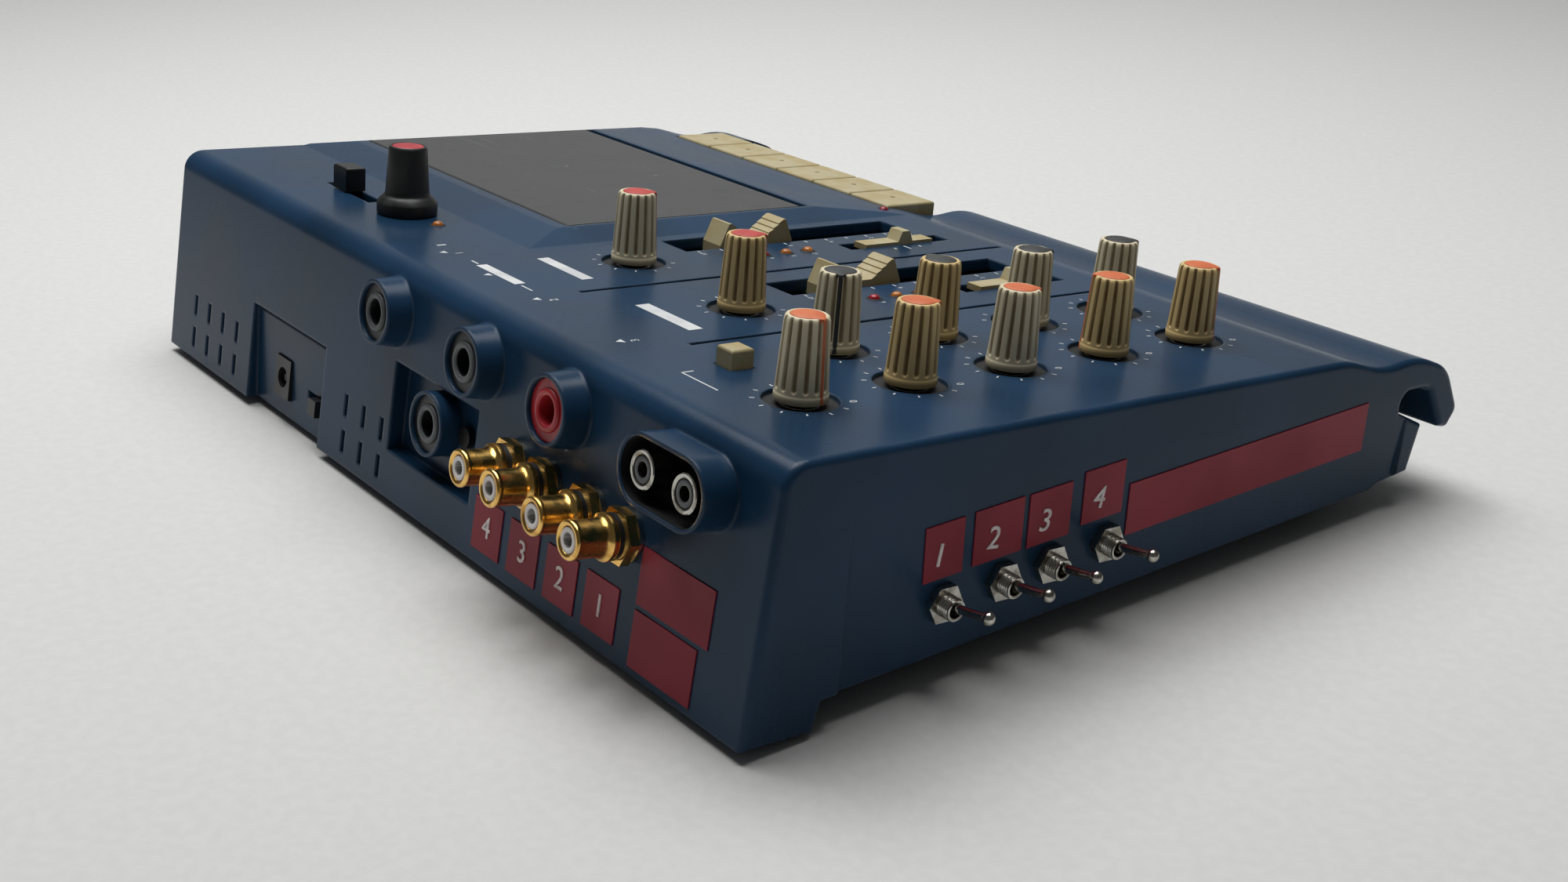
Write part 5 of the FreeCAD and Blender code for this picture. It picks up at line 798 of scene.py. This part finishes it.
# %% Scales of the knobs
SCALE_MARKS = 11
SCALE_STEP = 30.0
TICK_IN = 9.6
TICK_OUT = 10.7
TICK_WIDTH = 0.38
SCALE_NUMBER_OUT = 11.2
SCALE_NUMBER_SIZE = 2.7
scale_ends = {0: "0", SCALE_MARKS - 1: "10"}
marks = []
for label in KNOB_LOOK:
    around = joint_frame(label)
    numbered = scale_ends if not label.startswith(("pan", "trim")) else {}
    for step in range(SCALE_MARKS):
        turn = math.radians(SCALE_START - SCALE_STEP * step)
        out = SCALE_NUMBER_OUT if step in numbered else (TICK_IN + TICK_OUT) / 2
        x, y = out * math.cos(turn), out * math.sin(turn)
        if step in numbered:
            marks.append(written(numbered[step], spot(around, x, y), SCALE_NUMBER_SIZE))
        else:
            marks.append(bar(spot(around, x, y, 0.0, turn), TICK_OUT - TICK_IN, TICK_WIDTH))
print("scale marks:", len(marks))

# %% [markdown]
# # Bars, arrows and plain numbers
# Bars mark groups of controls, arrows point to the sockets behind, and faders, lamps and keys have
# numbers. They could be one drawing, but from tables of places, in millimetres on the panel, each
# mark can be moved alone.

# %% Bars, arrows and numbers
PANEL_BARS = (  # across, front, length, width
    (140.2, 24.8, 22.0, 3.4), (140.7, 6.7, 19.2, 3.0), (93.4, 24.6, 22.6, 3.9),
    (153.1, 6.4, 3.4, 0.5), (127.0, 6.2, 5.2, 0.5), (171.6, 6.8, 0.9, 2.6),
    (49.5, 2.8, 13.4, 0.45), (56.0, 4.2, 0.45, 3.2), (183.4, 151.9, 17.0, 1.5),
    (128.2, 124.0, 1.2, 0.5), (128.2, 128.4, 3.2, 0.5), (128.2, 133.0, 1.2, 0.5),
    (81.6, 124.0, 1.2, 0.5), (81.6, 128.4, 3.2, 0.5), (81.6, 133.0, 1.2, 0.5))
ARROWS = ((164.7, 3.6), (141.3, 3.4), (117.6, 3.3), (80.7, 3.0))
ARROW_OUTLINE = [(-1.2, -0.9), (1.2, -0.9), (0.0, 1.1)]
SOCKET_NUMBERS = (("1", 162.6, 7.2, 3.2), ("2", 115.6, 7.0, 3.2), ("3", 80.0, 6.6, 3.0))
FADER_COLUMNS = (104.3, 150.65)
FADER_SCALE_REAR = 68.0
FADER_SCALE_STEP = 7.2
FADER_TICK_LEFT = 7.6
FADER_TICK = (1.5, 0.4)  # length, width
FADER_NUMBER_LEFT = 10.0
FADER_NUMBER_SIZE = 2.1
LAMP_COLUMNS = (88.4, 134.6)
LAMP_REAR = 83.2
LAMP_STEP = 7.4
LAMP_NUMBER_LEFT = 3.6
LAMP_NUMBER_SIZE = 1.9
KEY_NUMBER_FRONT = 151.8
KEY_NUMBER_SIZE = 2.4

for across, front, length, width in PANEL_BARS:
    marks.append(bar(on_panel(across, front), length, width))
for across, front in ARROWS:
    marks.append(plate(on_panel(across, front), ARROW_OUTLINE))
for text, across, front, size in SOCKET_NUMBERS:
    marks.append(written(text, on_panel(across, front), size))
for column in FADER_COLUMNS:
    for step in range(SCALE_MARKS):
        front = FADER_SCALE_REAR + FADER_SCALE_STEP * step
        marks.append(bar(on_panel(column - FADER_TICK_LEFT, front), *FADER_TICK))
        if step % 2 == 0:
            beside = on_panel(column - FADER_NUMBER_LEFT, front)
            marks.append(written(str(SCALE_MARKS - 1 - step), beside, FADER_NUMBER_SIZE))
for column in LAMP_COLUMNS:
    for step, text in enumerate(("6", "0", "12")):
        beside = on_panel(column - LAMP_NUMBER_LEFT, LAMP_REAR + LAMP_STEP * step)
        marks.append(written(text, beside, LAMP_NUMBER_SIZE))
for count, name in enumerate(keys, start=1):
    low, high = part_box(name)
    across = ((low[0] + high[0]) / 2 - panel_origin[0]) / MM
    marks.append(written(str(count), on_panel(across, KEY_NUMBER_FRONT), KEY_NUMBER_SIZE))

white_paint = moulded("white_print", linear(206, 208, 208), linear(186, 188, 190), 0.5, 0.004 * MM)
piece("panel_marks", marks, white_paint, "case", sharp=20.0)
print("marks:", len(marks))

# %% [markdown]
# # Embossed label tape
# Dark red embossing tape is stuck on the rear wall and the left side. A wheel presses each
# character up from behind, so it stands proud and turns white. A bump could only hint at that, so
# the numbers 1 to 4 are raised meshes in a stressed white, and the other plates are bare.

# %% Label tape finish
tape_red = Finish("label_tape", {"IOR": 1.3})
tape_cloud = tape_red.noise(30.0 * MM, detail=2.0)
tape_fine = tape_red.noise(0.6 * MM, detail=2.0)
tape_red.drive({
    "Base Color": tape_red.mix(tape_red.ramp(tape_cloud, 0.35, 0.65),
                               linear(146, 38, 56), linear(132, 33, 49)),
    "Roughness": tape_red.ramp(tape_cloud, 0.3, 0.7, 0.34, 0.46),
    "Normal": tape_red.relief(tape_fine, 0.01 * MM),
})
wear_finish(["label_plates"], tape_red)
stressed = moulded("stressed_tape", linear(232, 224, 222), linear(204, 188, 188), 0.45,
                   0.01 * MM, 2.0 * MM)
print("tape:", tape_red.material.name, stressed.material.name)

# %% Raised numbers
TAPE_WIDTH = 12.7
TAPE_OUT = 0.3
DIGIT_SIZE = 7.4
DIGIT_RAISED = 0.25
DIGIT_BOLDER = 0.03
REAR_PLATE_TOP = 43.4
REAR_PLATES = (53.7, 70.1, 86.5, 102.9)
SIDE_PLATES = ((25.8, 19.5, 10.6), (39.2, 18.1, 13.8), (54.6, 16.8, 12.4), (70.5, 14.2, 12.4))
panel_slope = math.asin(-rearward[2])
places = [spot(REAR, across, REAR_PLATE_TOP + TAPE_WIDTH * 0.5, TAPE_OUT, math.pi)
          for across in REAR_PLATES]
for front, top, width in SIDE_PLATES:
    corner = spot(SIDE, front, SIDE_LEAN_TOP / MM - top, TAPE_OUT, panel_slope)
    places.append(spot(corner, width * 0.5, -TAPE_WIDTH * 0.5))
numbers = [written(str(index % 4 + 1), place, DIGIT_SIZE, DIGIT_RAISED, DIGIT_BOLDER)
           for index, place in enumerate(places)]
piece("label_numbers", numbers, stressed, "case", sharp=30.0)
print("raised numbers:", len(numbers))

# %% [markdown]
# # Phono sockets
# A phono socket is a turned part: its shell has a concave foot on the flange, a rounded lip, and a
# pale plastic core just inside. A tube with a bevel would miss the foot, which catches the light.
# So shell and core are profiles, each turned about the socket's own axis.

# %% Phono shells and cores
PHONO_DOWN = 31.0
PHONO_ACROSS = (47.2, 61.8, 79.9, 93.7)
SHELL = [
    (2.8, 3.0), (2.8, 14.6), (3.0, 15.0), (3.3, 15.22), (3.7, 15.3), (4.08, 15.22), (4.3, 14.95),
    (4.34, 14.6), (4.3, 14.3), (4.16, 14.1), (4.13, 13.8), (4.13, 8.6), (4.18, 8.0), (4.32, 7.5),
    (4.6, 7.15), (5.0, 6.95), (5.18, 6.8), (5.22, 6.5), (5.22, 5.75), (5.1, 5.5), (4.9, 5.42),
    (3.05, 5.42), (3.05, 3.0)]
CORE = [(1.65, 8.0), (1.65, 15.02), (1.8, 15.14), (2.55, 15.14), (2.76, 15.0), (2.76, 8.0)]


def rings_at(places, profile, columns=48):
    """The same closed ring, a profile turned about each of several local frames."""
    return [turned(place, profile, columns, closed=True) for place in places]


phonos = [spot(REAR, across, PHONO_DOWN) for across in PHONO_ACROSS]
pale_core = moulded("pale_core", linear(236, 232, 228), linear(222, 214, 208), 0.35)
piece("rca_shell_forms", rings_at(phonos, SHELL, 56), gold, "case", sharp=40.0,
      stands_for=["rca_shells"])
piece("rca_cores", rings_at(phonos, CORE, 40), pale_core, "case")
print("phono sockets:", len(phonos))

# %% [markdown]
# # Rings of the jacks and the line outputs
# Each quarter inch jack shows a grey ring in its nose, the phones jack a red one, and the two line
# outputs a bright rim round a grey ring. A texture can't round their lips, so each is a small
# turned ring of its own.

# %% Rings of the jacks and line outputs
JACK_DOWN = 12.3
JACK_ACROSS = (158.0, 113.0)
POCKET_JACK = (134.2, 34.0, -4.5)
PHONES_ACROSS = 75.5
LINE_ACROSS = (20.7, 35.5)
JACK_RING = [(3.3, 5.0), (3.3, 5.85), (3.55, 6.12), (3.95, 6.2), (4.5, 6.12), (4.85, 5.9),
             (4.95, 5.6), (4.95, 5.0)]
LINE_RIM = [(3.15, 6.0), (3.15, 7.55), (3.35, 7.72), (3.95, 7.72), (4.2, 7.5), (4.22, 7.2),
            (4.22, 4.0), (3.6, 4.0), (3.6, 6.0)]
LINE_INNER = [(1.7, 6.6), (1.7, 7.5), (1.85, 7.58), (2.6, 7.58), (2.75, 7.5), (2.75, 6.6)]
LINE_DARK = [(1.68, 6.5), (1.68, 7.43), (3.2, 7.43), (3.2, 6.5)]
jacks = [spot(REAR, across, JACK_DOWN) for across in JACK_ACROSS] + [spot(REAR, *POCKET_JACK)]
lines = [spot(REAR, across, JACK_DOWN) for across in LINE_ACROSS]
ring_grey = moulded("ring_grey", linear(92, 95, 97), linear(76, 79, 81), 0.4)
piece("jack_rings", rings_at(jacks, JACK_RING), ring_grey, "case")
piece("phones_ring", rings_at([spot(REAR, PHONES_ACROSS, JACK_DOWN)], JACK_RING), red, "case")
piece("line_rims", rings_at(lines, LINE_RIM, 56), nickel, "case")
piece("line_inner_rings", rings_at(lines, LINE_INNER, 40), ring_grey, "case")
# A near-black ring deep inside each line output: painted shade.
piece("line_dark_rings", rings_at(lines, LINE_DARK, 40), shade_black, "case")
print("rings:", len(jacks) + 1 + 3 * len(lines))

# %% [markdown]
# Painted shade in the line output well
# The two line outputs share an oval well, dark inside with shade though the collar is blue. The CAD
# collar could be split in two colours by height, but its faces don't end there. A thin near-black
# sheet that follows the oval paints that shade and keeps the edge between the colours sharp.

# %% Painted shade in the line output well
OVAL_COLUMNS = 64
WELL_SHADE_SHEET = np.array([(6.88, 8.1), (6.78, 8.1), (6.78, 2.1), (0.0, 2.1), (0.0, 2.02), (6.88, 2.02)])


def oval_surface():
    """The nearer of two centres, plus reach times the direction of the turn: a stadium a row."""
    turn = full_turn(OVAL_COLUMNS) + math.pi / OVAL_COLUMNS
    centre = np.where(np.cos(turn) > 0.0, LINE_ACROSS[1], LINE_ACROSS[0])
    reach, out = WELL_SHADE_SHEET[:, :1], WELL_SHADE_SHEET[:, 1:]
    return np.stack([centre + reach * np.cos(turn), JACK_DOWN + reach * np.sin(turn),
                     np.broadcast_to(out, (len(WELL_SHADE_SHEET), OVAL_COLUMNS))], axis=-1) * MM


# A near-black sheet along the well's wall and floor: painted shade.
piece("line_well_shade", [surface(REAR, oval_surface(), closed=True)], shade_black, "case",
      sharp=30.0)
print("lining:", len(WELL_SHADE_SHEET), "rows")

# %% [markdown]
# # Threads of the toggle switches
# The nut of a toggle switch runs on a fine thread, which shows beyond it. Stacked rings would look
# nearly right from afar, but a thread climbs. On a grid that is one more term in the radius: the
# ridge depends on the height less the share of the turn.

# %% Threads of the toggle bushings
THREAD_PITCH = 0.62
THREAD_LOW = 1.9
THREAD_HIGH = 4.75
THREAD_ROOT = 2.41
THREAD_DEPTH = 0.2
THREAD_FADE = 0.3
THREAD_ROWS = 58
THREAD_COLUMNS = 36
BUSH_END = np.array([(2.36, 4.95), (2.0, 4.97), (1.82, 4.85), (1.82, THREAD_LOW),
                     (2.36, THREAD_LOW)])
TOGGLE_FRONTS = (33.1, 49.7, 63.5, 80.4)
TOGGLE_DOWN = 37.3
TOGGLE_RISE = 0.1055


def thread_surface():
    """Radius = root + depth * ridge(height / pitch - turn), a ridge that climbs once a turn and
    fades at the top, followed by the rows of the bush's end and its inner wall."""
    height = np.linspace(THREAD_LOW, THREAD_HIGH, THREAD_ROWS)[:, None]
    turn = full_turn(THREAD_COLUMNS)[None, :]
    phase = (height / THREAD_PITCH - turn / (2.0 * math.pi)) % 1.0
    ridge = 1.0 - np.abs(2.0 * phase - 1.0)
    fade = np.clip((THREAD_HIGH - height) / THREAD_FADE, 0.0, 1.0)
    radius = np.concatenate([THREAD_ROOT + THREAD_DEPTH * ridge * fade,
                             np.repeat(BUSH_END[:, :1], THREAD_COLUMNS, axis=1)])
    rows = np.concatenate([height, BUSH_END[:, 1:]])
    return np.stack([radius * np.cos(turn), radius * np.sin(turn),
                     np.broadcast_to(rows, radius.shape)], axis=-1) * MM


threads = []
for front in TOGGLE_FRONTS:
    up = SIDE_LEAN_TOP / MM - TOGGLE_DOWN + TOGGLE_RISE * (front - TOGGLE_FRONTS[0])
    threads.append(surface(spot(SIDE, front, up), thread_surface(), closed=True))
piece("toggle_threads", threads, nickel, "case", sharp=25.0)
print("threads:", len(threads))

# %% [markdown]
# # Dots on the keys
# Each tape key has a small raised dot in the middle of its top, so that a finger finds it. It could
# be part of the CAD key, but it is darker, so it is a turned dome of its own that rides on the key.

# %% Dots on the keys
DOT = [(0.0, 0.16), (0.45, 0.14), (0.8, 0.05), (0.9, -0.1), (0.9, -0.5), (0.0, -0.5)]
KEY_REAR = 157.4
KEY_FRONT = 176.2


def panel_sizes(name):
    """Lowest and highest x, rearward distance and height of a packed node in the panel's frame."""
    corners = np.empty(len(nodes[name].data.vertices) * 3)
    nodes[name].data.vertices.foreach_get("co", corners)
    local = (corners.reshape(-1, 3) - PANEL[:3, 3]) @ PANEL[:3, :3] / MM
    return local.min(axis=0), local.max(axis=0)


dot_finish = moulded("key_dot", linear(128, 116, 84), linear(112, 98, 66), 0.45)
for name in keys:
    low, high = panel_sizes(name)
    middle = on_panel((low[0] + high[0]) / 2, (KEY_REAR + KEY_FRONT) / 2, high[2])
    piece(name + "_dot", [turned(middle, DOT, 20)], dot_finish, name)
print("keys:", keys)

# %% [markdown]
# # Lamps
# Each lamp is a small domed lens in a dark hole. The first of each column and the record lamp are
# red, the others amber. They could glow, but here they are unlit: smooth coloured plastic with a
# thin near-black ring round it, painted shade that hides the gap.

# %% Lamps
RECORD_LAMP = (168.2, 153.3)
POWER_LAMP = (191.6, 16.2)
LENS_TEXTURE = (0.16, 0.002 * MM, 2.0 * MM)  # roughness, grain depth, size of the spots
LENS = [(0.0, 1.15), (0.5, 1.1), (0.95, 0.9), (1.25, 0.6), (1.42, 0.2), (1.48, -0.4), (1.48, -5.0),
        (0.0, -5.0)]
LENS_SHADE_RING = [(1.5, -1.0), (1.5, 0.05), (1.62, 0.18), (1.95, 0.18), (2.15, 0.04), (2.15, -0.05),
         (1.7, -1.0)]
red_lamps = [on_panel(column, LAMP_REAR) for column in LAMP_COLUMNS] + [on_panel(*RECORD_LAMP)]
amber_lamps = [on_panel(column, LAMP_REAR + LAMP_STEP * step)
               for column in LAMP_COLUMNS for step in (1, 2)] + [on_panel(*POWER_LAMP)]
lamp_red = moulded("lamp_red", linear(150, 26, 40), linear(120, 16, 28), *LENS_TEXTURE)
lamp_amber = moulded("lamp_amber", linear(188, 118, 52), linear(150, 84, 32), *LENS_TEXTURE)
piece("lenses_red", [turned(lamp, LENS, 32) for lamp in red_lamps], lamp_red, "case",
      stands_for=["panel_leds"])
piece("lenses_amber", [turned(lamp, LENS, 32) for lamp in amber_lamps], lamp_amber, "case")
# A near-black ring round each lens: painted shade in the gap.
piece("lens_shade_rings", rings_at(red_lamps + amber_lamps, LENS_SHADE_RING, 32), shade_black, "case")
print("lamps:", len(red_lamps), "red and", len(amber_lamps), "amber")

# %% [markdown]
# # Lid
# The smoked lid is a flat acrylic plate that shows mostly the pale room. It could be real glass
# over the dark well, at a high price in render time. An even dull grey looks the same, with fine
# scratches both ways and a few specks of dust.

# %% Smoked lid
SCRATCHES_ALONG = (26.0, 1.0, 1.0)
SCRATCHES_ACROSS = (1.0, 20.0, 1.0)
SMOKE = linear(44, 45, 46)
SMOKE_PALER = linear(52, 53, 54)
DUST = linear(170, 170, 168)
lid_smoke = Finish("smoked_acrylic", {"IOR": 1.49})
haze = lid_smoke.noise(30.0 * MM, detail=3.0)
along = lid_smoke.noise(1.6 * MM, detail=2.0, stretch=SCRATCHES_ALONG)
crossing = lid_smoke.noise(1.8 * MM, detail=2.0, stretch=SCRATCHES_ACROSS)
specks = lid_smoke.noise(0.9 * MM, detail=0.0)
fine_lines = lid_smoke.ramp(along, 0.70, 0.74) + lid_smoke.ramp(crossing, 0.72, 0.76)
dust = lid_smoke.ramp(specks, 0.83, 0.86)
smoke = lid_smoke.mix(lid_smoke.ramp(haze, 0.3, 0.7), SMOKE, SMOKE_PALER)
lid_smoke.drive({
    "Base Color": lid_smoke.mix(dust * 0.5 + fine_lines * 0.12, smoke, DUST),
    "Roughness": lid_smoke.ramp(haze, 0.3, 0.7, 0.3, 0.38) + fine_lines * 0.2,
    "Normal": lid_smoke.relief(haze, 0.02 * MM),
})
wear_finish(["cassette_lid"], lid_smoke)
print("still in the packer's colours:", sorted(set(nodes) - dressed))

# %% [markdown]
# # Floor and backdrop
# A studio table is a pale sheet that rolls up behind the object, so that no edge shows. A floor and
# a wall would meet in a line. The sheet is one grid: a level stretch, a quarter circle, then
# upright, square to the direction in which the camera looks.

# %% Floor and backdrop
FLOOR_NEAR = 1.6
FLOOR_FAR = 1.9
SWEEP_RADIUS = 0.9
SWEEP_HEIGHT = 2.6
SWEEP_HALF_WIDTH = 4.5
SWEEP_COLUMNS = 10
BEND_STEPS = 25


def sweep_surface():
    """A profile in the plane of the view, level first, then a quarter circle up, then upright,
    carried sideways in a straight line."""
    quarter = np.linspace(0.0, math.pi / 2, BEND_STEPS)
    reach = np.concatenate([[-FLOOR_NEAR, 0.0], FLOOR_FAR + SWEEP_RADIUS * np.sin(quarter),
                            [FLOOR_FAR + SWEEP_RADIUS]])
    height = np.concatenate([[0.0, 0.0], SWEEP_RADIUS * (1.0 - np.cos(quarter)), [SWEEP_HEIGHT]])
    side = np.linspace(-SWEEP_HALF_WIDTH, SWEEP_HALF_WIDTH, SWEEP_COLUMNS)
    across = np.array([math.cos(HEADING), math.sin(HEADING), 0.0])
    ahead = np.array([-math.sin(HEADING), math.cos(HEADING), 0.0])
    return (reach[:, None, None] * ahead + side[None, :, None] * across
            + height[:, None, None] * np.array([0.0, 0.0, 1.0]))


paper = Finish("studio_paper", {"Specular IOR Level": 0.1})
paper_grain = paper.noise(3.0 * MM, detail=3.0)
paper.drive({
    "Base Color": paper.mix(paper.ramp(paper_grain, 0.3, 0.7),
                            linear(205, 205, 203), linear(209, 209, 207)),
    "Roughness": paper.ramp(paper_grain, 0.3, 0.7, 0.75, 0.85),
})
sweep_points = sweep_surface()
sweep_faces = grid_faces(*sweep_points.shape[:2], wrap_columns=False)
sweep_mesh = bpy.data.meshes.new("studio_sweep")
sweep_mesh.from_pydata(sweep_points.reshape(-1, 3), [], sweep_faces)
sweep_mesh.polygons.foreach_set("use_smooth", np.ones(len(sweep_faces), dtype=bool))
sweep_mesh.materials.append(paper.material)
sweep = bpy.data.objects.new("studio_sweep", sweep_mesh)
bpy.context.scene.collection.objects.link(sweep)
print("sweep of", len(sweep_mesh.vertices), "points")

# %% [markdown]
# # Lamps of the studio
# In the photograph the walls that face the camera are dark and the top is lit. One strong sun would
# do that with hard shadows. So there are broad soft lamps: two above, and one that lights the
# backdrop, which the panel mirrors.

# %% Lamps of the studio
AIR_GLOW = 0.07


def soft_lamp(name, place, aim, width, height, watts):
    """A rectangular lamp that looks from its place at its aim."""
    data = bpy.data.lights.new(name, "AREA")
    data.shape = "RECTANGLE"
    data.size = width
    data.size_y = height
    data.energy = watts
    lamp = bpy.data.objects.new(name, data)
    lamp.location = place
    lamp.rotation_euler = (Vector(aim) - Vector(place)).to_track_quat("-Z", "Y").to_euler()
    bpy.context.scene.collection.objects.link(lamp)
    return lamp


world = bpy.data.worlds.new("studio_air")
world.use_nodes = True
bpy.context.scene.world = world
air = world.node_tree.nodes["Background"]
air.inputs["Color"].default_value = (1.0, 1.0, 1.0, 1.0)
air.inputs["Strength"].default_value = AIR_GLOW

lamps = [
    soft_lamp("key_lamp", (0.5, 0.1, 0.95), (0.0, 0.0, 0.0), width=0.5, height=0.5, watts=4.0),
    soft_lamp("top_lamp", (0.12, -0.12, 1.0), (0.05, -0.05, 0.0), width=0.8, height=0.8,
              watts=10.0),
    soft_lamp("wall_lamp", (1.2, -0.9, 1.9), (2.3, -1.7, 1.0), width=1.2, height=0.6, watts=20.0),
]
bpy.context.scene.view_settings.view_transform = "Standard"
print("lamps:", [lamp.name for lamp in lamps])

# %% [markdown]
# # Sizes and the end
# The end
# with both boxes written down anyone can compare them.
